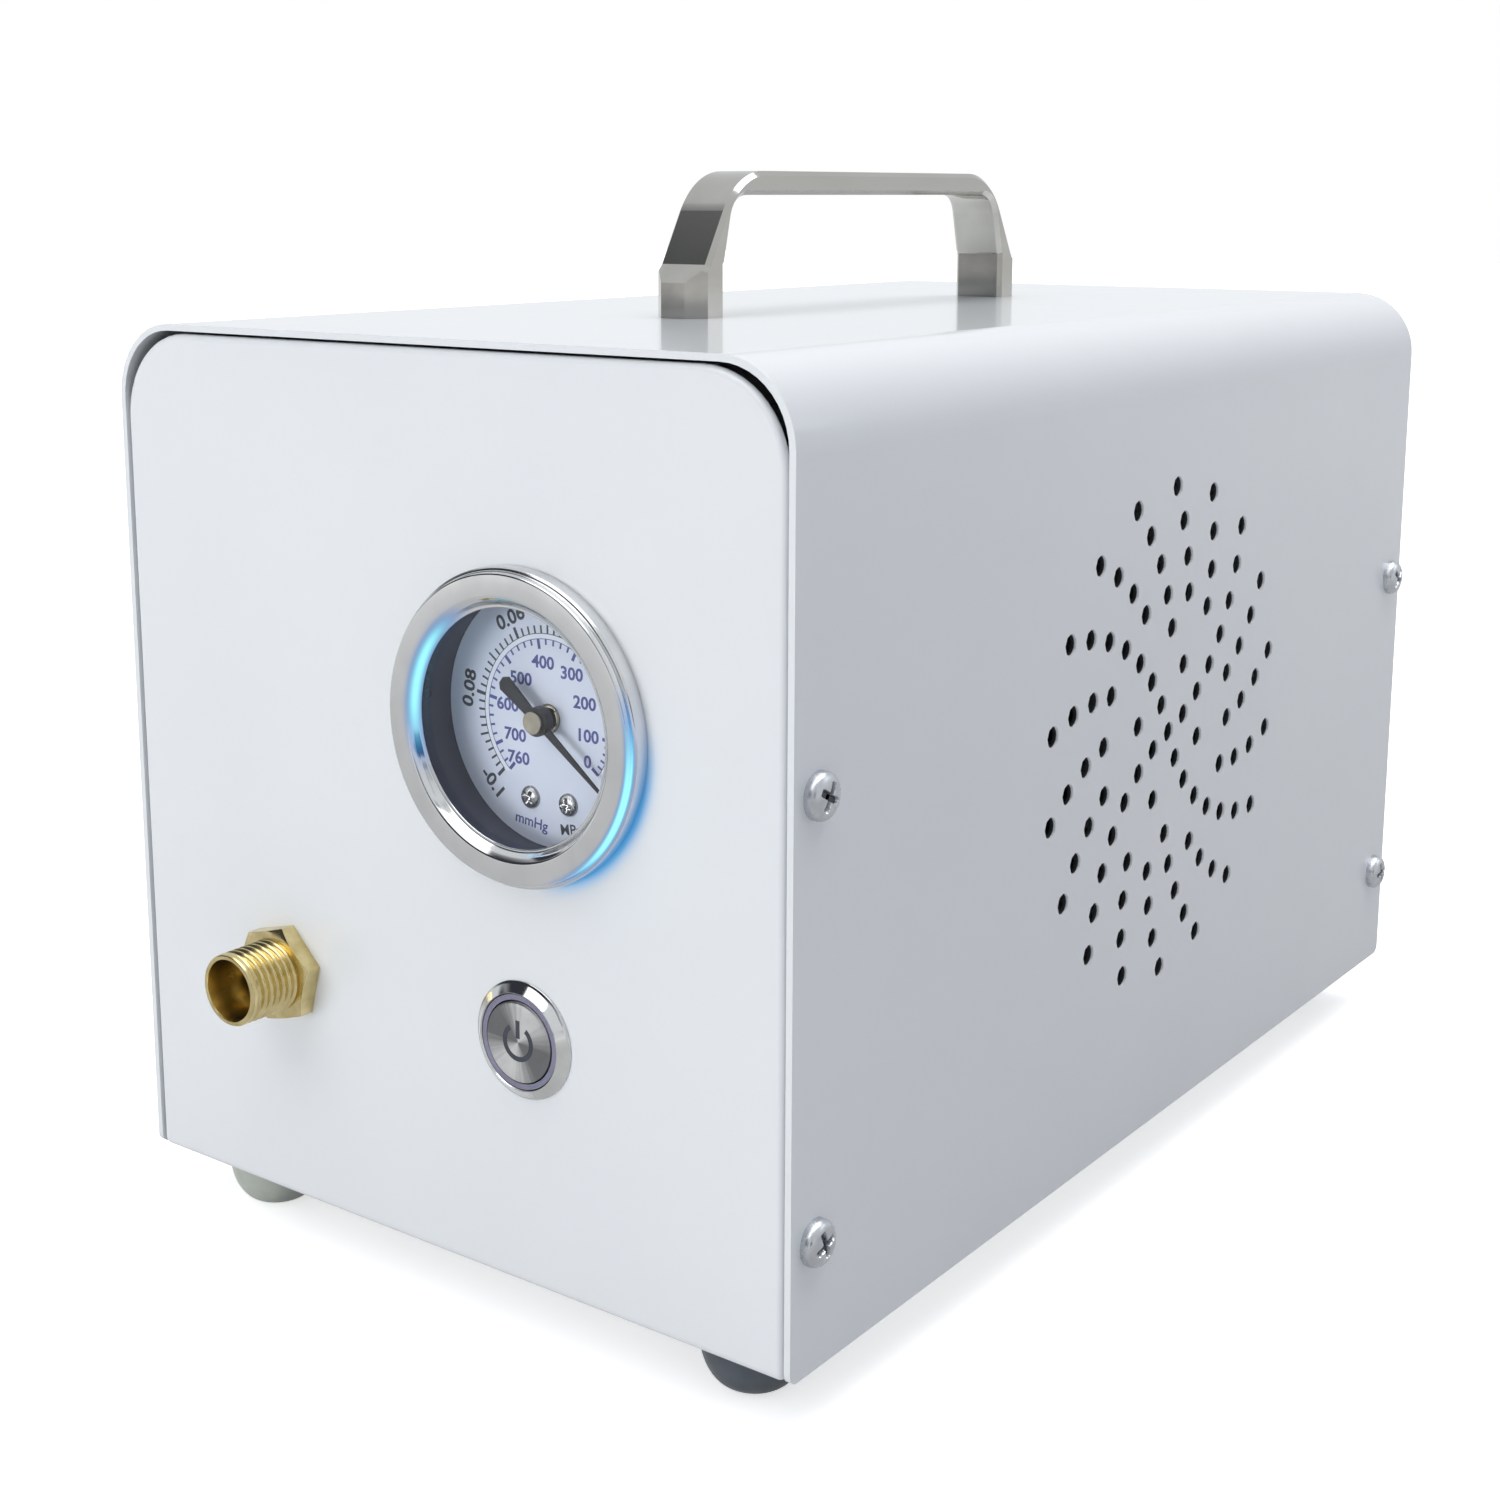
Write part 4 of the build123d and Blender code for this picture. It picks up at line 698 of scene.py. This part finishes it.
def innerScale(look):
    # Ticks, the line along their roots, the numbers and their unit, then the pale band round them
    size = look["innerTicks"]
    value = np.arange(0, look["readings"][-1] + 1, size["every"])
    long = (value % size["longEvery"] == 0) | (value == value[-1])
    tips = np.where(long, size["long"], size["short"])
    widths = np.where(long, look["longTickWidth"], look["tickWidth"])
    first, last = np.degrees(readingAngle(value[[0, -1]]))
    parts = [
        tickBars(value, size["root"], tips, widths),
        gridPart(band(size["root"], size["root"] + look["line"], 0, look["height"], first, last)),
    ]
    for number, at in look["innerAt"].items():
        parts.append(letters(str(number), look["innerText"], at))
    pale = gridPart(band(*look["pale"], 0, look["height"], first, last))
    return [*parts, unitLetters(look, "mmHg")], [pale]


def makeDialPrint(look):
    black = outerScale(look)
    blue, pale = innerScale(look)
    for name, parts, material, slot in (
        ("dialPrintBlack", black, inkAndShadeBlack, "pointer_black"),
        ("dialPrintBlue", blue, inkBlue, "pointer_black"),
        ("dialPrintPale", pale, inkPale, "dial_white"),
    ):
        points, faces = joined(parts)
        mesh = meshOf(name, onFace(points, panelFrame, dialFace), faces)
        addPiece(name, mesh, material, "housing")


def makeInk(name, look):
    return makeFinish(name, {**finishes["pointer_black"], **look})


# Black ink for the print, also used for the painted shade bars in the screw recesses
inkAndShadeBlack = makeInk("inkAndShadeBlack", dict(colour=(0.035, 0.04, 0.055), tint=(0.055, 0.06, 0.08)))
inkBlue = makeInk("inkBlue", dict(colour=(0.06, 0.07, 0.26), tint=(0.09, 0.10, 0.32)))
inkPale = makeInk("inkPale", dict(colour=(0.86, 0.90, 0.97), tint=(0.82, 0.87, 0.95), roughness=(0.4, 0.5)))
makeDialPrint(dialPrint)
print("dial printed")


def slotMask(along, across, look):
    # One within the slot's reach and width, falling to nothing over the blur
    half, reach, blur = look["slot"] / 2, look["reach"], look["blur"]
    inWidth = 1 - smoothStep(half - blur, half + blur, across)
    return inWidth * (1 - smoothStep(reach - blur, reach + blur, along))


def screwHead(look, turn):
    # The dome falls as (1 - share^p)^(1/p), p being square, and its recess is cut where the mask is one
    angle = np.linspace(0, 2 * np.pi, look["steps"], endpoint=False)
    share = np.sin(np.linspace(0, np.pi / 2, look["rings"]))[:, None]
    x = look["radius"] * share * np.cos(angle)
    y = look["radius"] * share * np.sin(angle)
    dome = look["height"] * (1 - share ** look["square"]) ** (1 / look["square"]) + 0 * angle
    c, s = math.cos(turn), math.sin(turn)
    u, v = np.abs(c * x + s * y), np.abs(c * y - s * x)
    mask = slotMask(u, v, look)
    if look["cross"]:
        mask = np.maximum(mask, slotMask(v, u, look))
    depth = look["depth"] * (1 - look["rise"] * np.hypot(u, v) / look["reach"])
    head = np.stack([x, y, dome - mask * np.maximum(depth, 0)], -1)
    thread, end = look["thread"], -look["length"]
    shank = turned([(look["radius"], 0), (thread, 0), (thread, end), (0, end)], look["steps"])[0]
    return np.vstack([head, shank]), False, True


sideScrew = {
    "radius": 4.0, "height": 2.45, "square": 3.4, "thread": 2.0, "length": 8.0,
    "slot": 1.0, "reach": 2.35, "depth": 1.9, "rise": 0.45, "blur": 0.12, "cross": True,
    "rings": 30, "steps": 72,
    "turns": {"right": (0.35, 0.7), "left": (0.2, 0.9)},  # the first screw's, and the step to the next
    # The floor entry sizes the dark bars of painted shade in each cross recess
    "floor": {"up": 0.3, "down": 0.75, "width": 0.9},  # the last is a share of the slot's width
}
dialScrew = {
    "radius": 2.0, "height": 0.95, "square": 2.6, "thread": 0.95, "length": 2.0,
    "slot": 0.5, "reach": 1.25, "depth": 0.7, "rise": 0.45, "blur": 0.1, "cross": True,
    "rings": 18, "steps": 48, "turn": 0.5,
}
dialBush = {
    "radius": 2.4, "height": 0.75, "square": 4.0, "thread": 2.35, "length": 0.2,
    "slot": 0.6, "reach": 3.0, "depth": 0.5, "rise": 0.45, "blur": 0.08, "cross": False,
    "rings": 18, "steps": 48, "turn": 0.9,
}


def crossFloor(look, turn, at):
    # Painted shade: two dark bars that lie in the cross-shaped recess, under its open top
    half = look["reach"] - look["blur"]
    c, s = math.cos(turn) * half, math.sin(turn) * half
    floor = look["floor"]
    low, high = floor["up"], look["height"] - floor["down"]
    points, faces = bars([(-c, -s), (s, -c)], [(c, s), (-s, c)], look["slot"] * floor["width"], low, high)
    return points + np.array(at), faces


def makeSideScrews(look):
    low, high = nodeBox("side_screws")
    reach = look["radius"]
    places = [(y, z) for y in (low[1] + reach, high[1] - reach) for z in (low[2] + reach, high[2] - reach)]
    for side, wall in sides.items():
        first, step = look["turns"][side]
        heads, crossShades = [], []
        for index, (y, z) in enumerate(places):
            turn, at = first + step * index, (wall["sign"] * y, z, wall["out"])
            heads.append(moved(screwHead(look, turn), *at))
            crossShades.append(crossFloor(look, turn, at))
        name = "sideScrews_" + side
        mesh = shellOf(name, heads, wall["face"], (0, 0, 0))
        stands = ("side_screws",) if side == "right" else ()
        addPiece(name, mesh, materials["screw_zinc"], "housing", 40, stands)
        # Dark bars of painted shade in each cross recess
        name = "screwCrossShade_" + side
        points, faces = joined(crossShades)
        mesh = meshOf(name, onFace(points, wall["face"], (0, 0, 0)), faces)
        addPiece(name, mesh, inkAndShadeBlack, "housing")


def makeDialScrews(look, bush):
    low, high = nodeBox("gauge_dial_screws")
    middle = dialFace * [1, 1, 0] + [0, 0, (low[2] + high[2]) / 2]
    across = (high[0] - low[0]) / 2 - look["radius"]
    grids = [moved(screwHead(look, look["turn"] + side), side * across) for side in (-1, 1)]
    mesh = shellOf("dialScrews", grids, panelFrame, middle)
    addPiece("dialScrews", mesh, dialSteel, "housing", 40, ("gauge_dial_screws",))
    mesh = shellOf("dialBush", [screwHead(bush, bush["turn"])], panelFrame, dialFace)
    addPiece("dialBush", mesh, hubBrass, "housing", 40)


makeSideScrews(sideScrew)
makeDialScrews(dialScrew, dialBush)
print("screws made")

# Brass nipple

nipple = {
    "flats": 16.5, "turn": 15.0, "hexHeight": 3.5, "corner": 0.55, "hexEdge": 0.1,
    "crest": 6.84, "taper": 0.12, "pitch": 1.41, "threadDepth": 0.95, "sharpness": 0.8,
    "leadIn": 0.9, "fade": 0.7, "plain": 0.6, "threadRows": 140,
    "reach": 13.8, "tip": ((0.05, 0.3), (0.2, 0.06), (0.35, 0.0)),  # in from the crest, back from the end
    "bore": 5.75, "boreEdge": 0.18, "boreRound": (0.05, 0.06), "floor": 2.0, "floorEdge": 0.5,
    "passage": 2.2, "stem": 5.0, "stemLength": 12.0,
    "barb": 3.2, "barbs": 3, "barbLength": 7.0, "barbStep": 0.5, "barbFlat": 0.3, "barbRise": 0.98,
    "barbEnd": 0.7, "steps": 96,
}


def barbRows(look):
    # Each barb rises from its small radius to its full one, then drops at its back
    length, full = look["barbLength"] / look["barbs"], look["barb"]
    end = -look["stemLength"] - look["barbLength"]
    rows = [(look["passage"], end), (full - look["barbEnd"], end)]
    for step in reversed(range(look["barbs"])):
        back = -look["stemLength"] - length * step
        rows += [(full - look["barbStep"], back - length * look["barbRise"]), (full, back - look["barbFlat"])]
    return [*rows, (full, -look["stemLength"]), (look["stem"], -look["stemLength"]), (look["stem"], 0)]


def boreRows(look, tip):
    # From the thread's last radius over the end's round edge, down the bore to its floor
    bore, reach, floor = look["bore"], look["reach"], look["floor"]
    inner, deep = look["boreRound"]
    return [
        *((tip - less, reach - back) for less, back in look["tip"]),
        (bore + look["boreEdge"], reach), (bore + inner, reach - deep), (bore, reach - look["boreEdge"]),
        (bore, floor + look["floorEdge"]), (bore - look["floorEdge"], floor), (look["passage"], floor),
    ]


def makeNipple(look):
    # Rows of (radius, height) all round: the hexagon's vary with the angle and the thread's with both
    start = math.radians(look["turn"])
    angle = np.linspace(0, 2 * np.pi, look["steps"], endpoint=False) + start
    level = np.ones_like(angle)
    inradius, hexHeight, reach = look["flats"] / 2, look["hexHeight"], look["reach"]
    sector = (angle - start + np.pi / 6) % (np.pi / 3) - np.pi / 6
    hexRadius = inradius / np.cos(np.pi / 6 - np.abs(sector))
    hexTop = hexHeight - (hexRadius - inradius) * look["corner"]
    rows = barbRows(look)
    rows += [(hexRadius, 0), (hexRadius, hexTop), (inradius - look["hexEdge"], hexHeight)]
    height = np.linspace(hexHeight, reach - look["plain"], look["threadRows"])[:, None]
    along = (height - hexHeight) / (reach - hexHeight)
    phase = height / look["pitch"] - angle / (2 * np.pi)
    fade = 1 - smoothStep(reach - look["leadIn"] - look["fade"], reach - look["leadIn"], height)
    groove = look["threadDepth"] * (1 - np.abs(np.sin(np.pi * phase))) ** look["sharpness"]
    thread = look["crest"] - look["taper"] * along - fade * groove
    rows += zip(thread, height[:, 0])
    rows += boreRows(look, thread[-1].mean())
    radius = np.array([r * level for r, z in rows])
    z = np.array([z * level for r, z in rows])
    points = np.stack([radius * np.cos(angle), radius * np.sin(angle), z], -1)
    mesh = shellOf("inletNipple", [(points, True, True)], panelFrame, onPanel(nippleAt))
    addPiece("inletNipple", mesh, materials["brass"], "housing", 38, ("inlet_nipple",))


makeNipple(nipple)
print("nipple made")

# Power switch: bezel, brushed cap with a painted fan highlight, and its sign

switchLook = {
    "bezel": 10.5, "bezelHeight": 1.7, "bevel": 1.9, "bevelTop": 0.3, "rim": 0.35, "rimUp": 0.1,
    "opening": 8.45, "openingEdge": (0.25, 0.35), "barrel": 9.4, "barrelLength": 26.0,
    "soft": 0.22, "bezelSteps": 128,
    "cap": 7.2, "capThickness": 2.6, "capEdge": 0.35, "capRound": (0.1, 0.12), "capRings": 9, "capSteps": 96,
    "plunger": 4.0, "plungerLength": 4.0,
    "sign": {"outer": 3.4, "inner": 2.5, "gap": 36.0, "bar": (0.7, 3.9), "barWidth": 0.9, "height": 0.02},
}


def makeSwitchBezel(look):
    # A closed profile turned round: up the opening, out along the top, down the bevel, back to the barrel
    outer, top, under = look["bezel"], look["bezelHeight"], -look["barrelLength"]
    opening, barrel, slope = look["opening"], look["barrel"], outer - look["rim"]
    edge, drop = look["openingEdge"]
    profile = rounded([
        (opening, under), (opening, top - drop), (opening + edge, top),
        (slope - look["bevel"] + look["bevelTop"], top), (slope, look["rim"] + look["rimUp"]),
        (outer, look["rim"]), (outer, 0), (barrel, 0), (barrel, under),
    ], look["soft"])
    mesh = shellOf("switchBezel", [turned(profile, look["bezelSteps"], True)], panelFrame, onPanel(switchAt))
    addPiece("switchBezel", mesh, materials["switch_steel"], "housing", 45, ("switch_body",))


def makeSwitchCap(look):
    # Level rings, a round edge and the plunger; the wrap's numbers run round the cap and outwards
    radius, face, plunger = look["cap"], look["bezelHeight"], look["plunger"]
    back = face - look["capThickness"]
    end = back - look["plungerLength"]
    inner, drop = look["capRound"]
    profile = [(r, face) for r in np.linspace(0, radius - look["capEdge"], look["capRings"])]
    profile += [(radius - inner, face - drop), (radius, face - look["capEdge"]), (radius, back)]
    profile += [(plunger, back), (plunger, end), (0, end)]
    grid = turned(profile, look["capSteps"])
    points, faces = gridPart(grid)
    rows, columns = grid[0].shape[:2]
    i, j = (a.ravel() for a in np.meshgrid(np.arange(rows - 1), np.arange(columns), indexing="ij"))
    uv = np.stack([[j, i], [j + 1, i], [j + 1, i + 1], [j, i + 1]], 0).transpose(2, 0, 1) / [columns, rows]
    mesh = meshOf("switchCap", onFace(points, panelFrame, onPanel(switchAt)), faces, weld, uv)
    addPiece("switchCap", mesh, capMaterial, "button", 35, ("switch_button",))


def makeSwitchSign(look):
    # The general power sign: a ring open at its top, and a bar that stands in the gap
    sign = look["sign"]
    start, end = 90 + sign["gap"], 450 - sign["gap"]
    arc = gridPart(band(sign["inner"], sign["outer"], 0, sign["height"], start, end, 60))
    low, high = sign["bar"]
    bar = bars((0, low), (0, high), sign["barWidth"], 0, sign["height"])
    points, faces = joined([arc, bar])
    placed = onFace(points + [0, 0, look["bezelHeight"]], panelFrame, onPanel(switchAt))
    addPiece("switchSign", meshOf("switchSign", placed, faces), inkAndShadeBlack, "button")


def makeBrushed(name, look):
    # Brushed in circles: the highlight spreads across the strokes, which run round the cap. The base colour
    # also carries a painted fan highlight, from the shade colour up to the finish's own
    material = makeFinish(name, look)
    tree = material.node_tree
    shader = tree.nodes["Principled BSDF"]
    tangent = tree.nodes.new("ShaderNodeTangent")
    tangent.direction_type = "UV_MAP"
    tangent.uv_map = "wrap"
    tree.links.new(tangent.outputs[0], shader.inputs["Tangent"])
    shader.inputs["Anisotropic"].default_value = look["strokes"]
    paintedFan = placeGroup(tree, paintedFanHighlight, {"Towards": look["towards"], "Streaks": look["streaks"]})
    base = shader.inputs["Base Color"].links[0].from_socket
    base = blendColour(tree, paintedFan.outputs["Painted Highlight"], look["shade"], base)
    tree.links.new(base, shader.inputs["Base Color"])
    return material


# The cap's base colour holds a painted highlight: bright wedges towards the given turn over the darker shade
# colour
capMaterial = makeBrushed("capBrushedPaintedFan", dict(
    colour=(0.95, 0.955, 0.96), tint=(0.85, 0.86, 0.865), roughness=(0.28, 0.38), metallic=1.0,
    grain=0.3, cloud=3.0, lift=0.05, liftHeight=0.01,
    shade=(0.25, 0.26, 0.27), towards=0.17, streaks=55.0, strokes=0.7,
))
makeSwitchBezel(switchLook)
makeSwitchCap(switchLook)
makeSwitchSign(switchLook)
print("switch made")

# Gauge bezel

bezelLook = {
    "outer": 27.0, "side": 2.7, "shoulder": (26.5, 3.05), "groove": (26.1, 2.95), "ridge": (26.3, 3.3),
    "crown": 26.1, "height": 4.2, "flat": 22.2, "slope": (21.4, 3.5),
    "lip": 20.2, "lipTop": (20.7, 2.6), "lipEdge": (20.3, 2.65),
    "seat": 0.8, "glass": 23.1, "glassThickness": 1.5, "glassGap": 0.02, "flange": 26.2,
    "soft": 0.3, "steps": 160,
}


def makeGaugeBezel(look):
    # Up the side, over a groove and a ridge to the crown, down to the lip and round the glass's edge
    top, seat = look["height"], look["seat"]
    under = seat + look["glassThickness"] + look["glassGap"]
    profile = rounded([
        (look["flange"], 0), (look["outer"], 0), (look["outer"], look["side"]),
        look["shoulder"], look["groove"], look["ridge"], (look["crown"], top), (look["flat"], top),
        look["slope"], look["lipTop"], look["lipEdge"],
        (look["lip"], under), (look["glass"], under), (look["glass"], seat), (look["flange"], seat),
    ], look["soft"])
    mesh = shellOf("gaugeBezel", [turned(profile, look["steps"], True)], panelFrame, onPanel(gaugeAt))
    addPiece("gaugeBezel", mesh, bezelMaterial, "housing", 50, ("gauge_bezel",))


makeGaugeBezel(bezelLook)
print("gauge bezel made")

# Vent holes: a painted rim in each, and inside it, where the sheet's cut edge is, a near-black sleeve of
# painted shade

ventLook = {
    "back": 130.0, "pitch": 7.0, "twist": 5.0, "count": 18,
    "fullRings": (4, 5, 6, 7),
    "openRings": {1: (1, 6, 10, 15), 2: (1, 3, 6, 8, 10, 12, 15, 17), 3: (1, 4, 6, 10, 13, 15)},
    "rim": [(2.34, 0.0), (2.2, 0.025), (2.06, -0.05), (1.98, -0.3), (1.98, -0.5)],
    # the near-black sleeve inside the rim: painted shade in the hole
    "edge": [(1.97, -0.45), (1.95, -0.52), (1.95, -1.2)],
    "steps": 14,
}


def ventPlaces(look):
    # Each ring's holes start a little further round than the last ring's
    rings = {**look["openRings"], **{ring: range(look["count"]) for ring in look["fullRings"]}}
    places = [(0.0, 0.0)]
    for ring, steps in rings.items():
        angle = np.radians(360 / look["count"] * np.array(steps) + look["twist"] * (ring - 1))
        places += list(zip(ring * look["pitch"] * np.cos(angle), ring * look["pitch"] * np.sin(angle)))
    return np.array(places)


def makeVentRims(look):
    # One turned profile for every hole, copied to all places of the pattern on both sides
    middle = (caseLow[1] + look["back"], (caseLow[2] + caseHigh[2]) / 2)
    for part, profile, material, slot in (
        ("ventRims", look["rim"], materials["case_white"], "case_white"),
        ("ventShadeSleeves", look["edge"], ventShadeSleeve, "black_plastic"),
    ):
        ring = turned(profile, look["steps"])
        for side, wall in sides.items():
            sign, out = wall["sign"], wall["out"]
            grids = [moved(ring, sign * (middle[0] + y), middle[1] + z, out) for y, z in ventPlaces(look)]
            name = part + "_" + side
            addPiece(name, shellOf(name, grids, wall["face"], (0, 0, 0)), material, "housing", 60)


# Near black, as painted shade inside the vent holes
ventShadeSleeve = makeFinish("ventShadeSleeve", {**finishes["black_plastic"], "colour": (0.03, 0.031, 0.034)})
makeVentRims(ventLook)
print("vent rims made")

# Floor, lamps, sky and camera

stageLook = {
    "floorSize": 12.0,
    "floorColour": (0.62, 0.63, 0.64),
    "floorSeen": 0.9,
    "floorInMirrors": 0.1,
    "floorRoughness": 0.9,
    "floorShine": 0.1,
    "floorLift": 0.62,
    "floorFade": (0.35, 1.6),  # metres from the middle, from the lift to full white
    "floorMirror": 0.76,
    "skyLeft": (0.535, 0.545, 0.56),
    "skyRight": (0.20, 0.21, 0.255),
    "skyMirror": (0.76, 0.78, 0.80),
    "dark": (0.035, 0.038, 0.048),
    "clutter": 0.75,
    "clutterSize": 4.0,
    "clutterEdge": (0.50, 0.60),
    "clutterFront": (0.2, 0.6),
    "darkPatches": (
        dict(towards=(-0.60, -0.74, 0.30), reach=26, edge=14),
        dict(towards=(0.75, -0.60, 0.15), reach=8, edge=2),
        dict(towards=(-0.92, -0.09, 0.38), reach=8, edge=3),
        dict(towards=(-0.18, -0.76, 0.60), reach=8, edge=2),
    ),
}
lamps = {
    "key": dict(at=(-0.25, -1.3, 1.8), size=(1.5, 1.5), power=12.0, colour=(1.0, 0.995, 0.985)),
    "front": dict(
        at=(-0.5, -2.0, 0.18), size=(1.0, 0.4), power=13.5, colour=(1.0, 1.0, 1.0), mirrored=False,
    ),
    "top": dict(at=(0.1, 0.35, 1.9), size=(1.9, 1.9), power=30.0, colour=(1.0, 1.0, 1.0)),
    "side": dict(at=(1.3, 1.1, 0.9), size=(0.9, 0.9), power=2.0, colour=(0.93, 0.96, 1.0)),
}
lampAim = Vector((0, 0, 0.1))
viewPoint = {
    "at": (0.2589, -0.3896, 0.1977),
    "turn": 36.862,
    "down": 10.854,
    "lens": 52.577,
    "shift": (0.0213, -0.0904),
    "nearest": 0.01,
}


def makeFloor(look):
    # Its own glow grows to white away from the pump; it is grey in mirrors and to what it lights
    size = look["floorSize"] / 2 / mm
    corners = np.array([[-size, -size, 0], [size, -size, 0], [size, size, 0], [-size, size, 0]])
    mesh = meshOf("floor", corners, np.array([[0, 1, 2, 3]]))
    floor = bpy.data.objects.new("floor", mesh)
    scene.collection.objects.link(floor)
    material = bpy.data.materials.new("floorPale")
    material.use_nodes = True
    tree = material.node_tree
    shader = tree.nodes["Principled BSDF"]
    shader.inputs["Roughness"].default_value = look["floorRoughness"]
    shader.inputs["Specular IOR Level"].default_value = look["floorShine"]
    path = tree.nodes.new("ShaderNodeLightPath")
    glossy = path.outputs["Is Glossy Ray"]
    bent = mathNode(tree, "MAXIMUM", glossy, path.outputs["Is Transmission Ray"])
    seen = mathNode(tree, "MAXIMUM", path.outputs["Is Camera Ray"], bent)
    away = vectorNode(tree, "LENGTH", objectPoint(tree))
    far = spread(tree, away, look["floorLift"], 1.0, *look["floorFade"])
    glow = blendColour(tree, seen, (0.0, 0.0, 0.0), (1.0, 1.0, 1.0))
    glow = blendColour(tree, glossy, glow, (look["floorMirror"],) * 3)
    pale = blendColour(tree, seen, look["floorColour"], (look["floorSeen"],) * 3)
    pale = blendColour(tree, glossy, pale, (look["floorInMirrors"],) * 3)
    tree.links.new(pale, shader.inputs["Base Color"])
    tree.links.new(glow, shader.inputs["Emission Color"])
    tree.links.new(far, shader.inputs["Emission Strength"])
    mesh.materials.append(material)


def makeSky(look):
    # White to the camera, a soft sky to rough surfaces, and a room with dark patches to shiny ones
    world = bpy.data.worlds.new("studio")
    scene.world = world
    world.use_nodes = True
    tree = world.node_tree
    tree.nodes.clear()
    direction = tree.nodes.new("ShaderNodeTexCoord").outputs["Generated"]
    path = tree.nodes.new("ShaderNodeLightPath")
    rightwards = vectorNode(tree, "DOT_PRODUCT", direction, (1.0, 0.0, 0.0))
    across = spread(tree, rightwards, 0.0, 1.0, -1.0, 1.0)
    soft = blendColour(tree, across, look["skyLeft"], look["skyRight"])
    mirror = look["skyMirror"]
    clutter = tree.nodes.new("ShaderNodeTexNoise")
    clutter.inputs["Scale"].default_value = look["clutterSize"]
    tree.links.new(direction, clutter.inputs["Vector"])
    forwards = vectorNode(tree, "DOT_PRODUCT", direction, (0.0, -1.0, 0.0))
    inFront = spread(tree, forwards, 0.0, 1.0, *look["clutterFront"])
    dimmed = spread(tree, clutter.outputs["Fac"], 0.0, look["clutter"], *look["clutterEdge"])
    mirror = blendColour(tree, mathNode(tree, "MULTIPLY", dimmed, inFront), mirror, look["dark"])
    for patch in look["darkPatches"]:
        toward = np.array(patch["towards"], float)
        toward = tuple(toward / np.linalg.norm(toward))
        edge = [math.cos(math.radians(patch["reach"] + turn)) for turn in (patch["edge"], 0)]
        near = spread(tree, vectorNode(tree, "DOT_PRODUCT", direction, toward), 0.0, 1.0, *edge)
        mirror = blendColour(tree, near, mirror, look["dark"])
    colour = blendColour(tree, path.outputs["Is Glossy Ray"], soft, mirror)
    lit = tree.nodes.new("ShaderNodeBackground")
    tree.links.new(colour, lit.inputs["Color"])
    white = tree.nodes.new("ShaderNodeBackground")
    white.inputs["Color"].default_value = (1.0, 1.0, 1.0, 1.0)
    mix = tree.nodes.new("ShaderNodeMixShader")
    seen = mathNode(tree, "MAXIMUM", path.outputs["Is Camera Ray"], path.outputs["Is Transmission Ray"])
    tree.links.new(seen, mix.inputs[0])
    tree.links.new(lit.outputs[0], mix.inputs[1])
    tree.links.new(white.outputs[0], mix.inputs[2])
    output = tree.nodes.new("ShaderNodeOutputWorld")
    tree.links.new(mix.outputs[0], output.inputs["Surface"])


def makeLamp(name, look):
    light = bpy.data.lights.new(name, "AREA")
    light.shape = "RECTANGLE"
    light.size, light.size_y = look["size"]
    light.energy = look["power"]
    light.color = look["colour"]
    lamp = bpy.data.objects.new(name, light)
    scene.collection.objects.link(lamp)
    lamp.visible_glossy = look.get("mirrored", True)
    lamp.location = look["at"]
    lamp.rotation_euler = (lampAim - Vector(look["at"])).to_track_quat("-Z", "Y").to_euler()


makeFloor(stageLook)
makeSky(stageLook)
for name, look in lamps.items():
    makeLamp(name, look)

camera = bpy.data.objects.new("camera", bpy.data.cameras.new("camera"))
scene.collection.objects.link(camera)
camera.location = viewPoint["at"]
camera.rotation_euler = (math.radians(90 - viewPoint["down"]), 0, math.radians(viewPoint["turn"]))
camera.data.lens = viewPoint["lens"]
camera.data.shift_x, camera.data.shift_y = viewPoint["shift"]
camera.data.clip_start = viewPoint["nearest"]
scene.camera = camera
print("stage set")
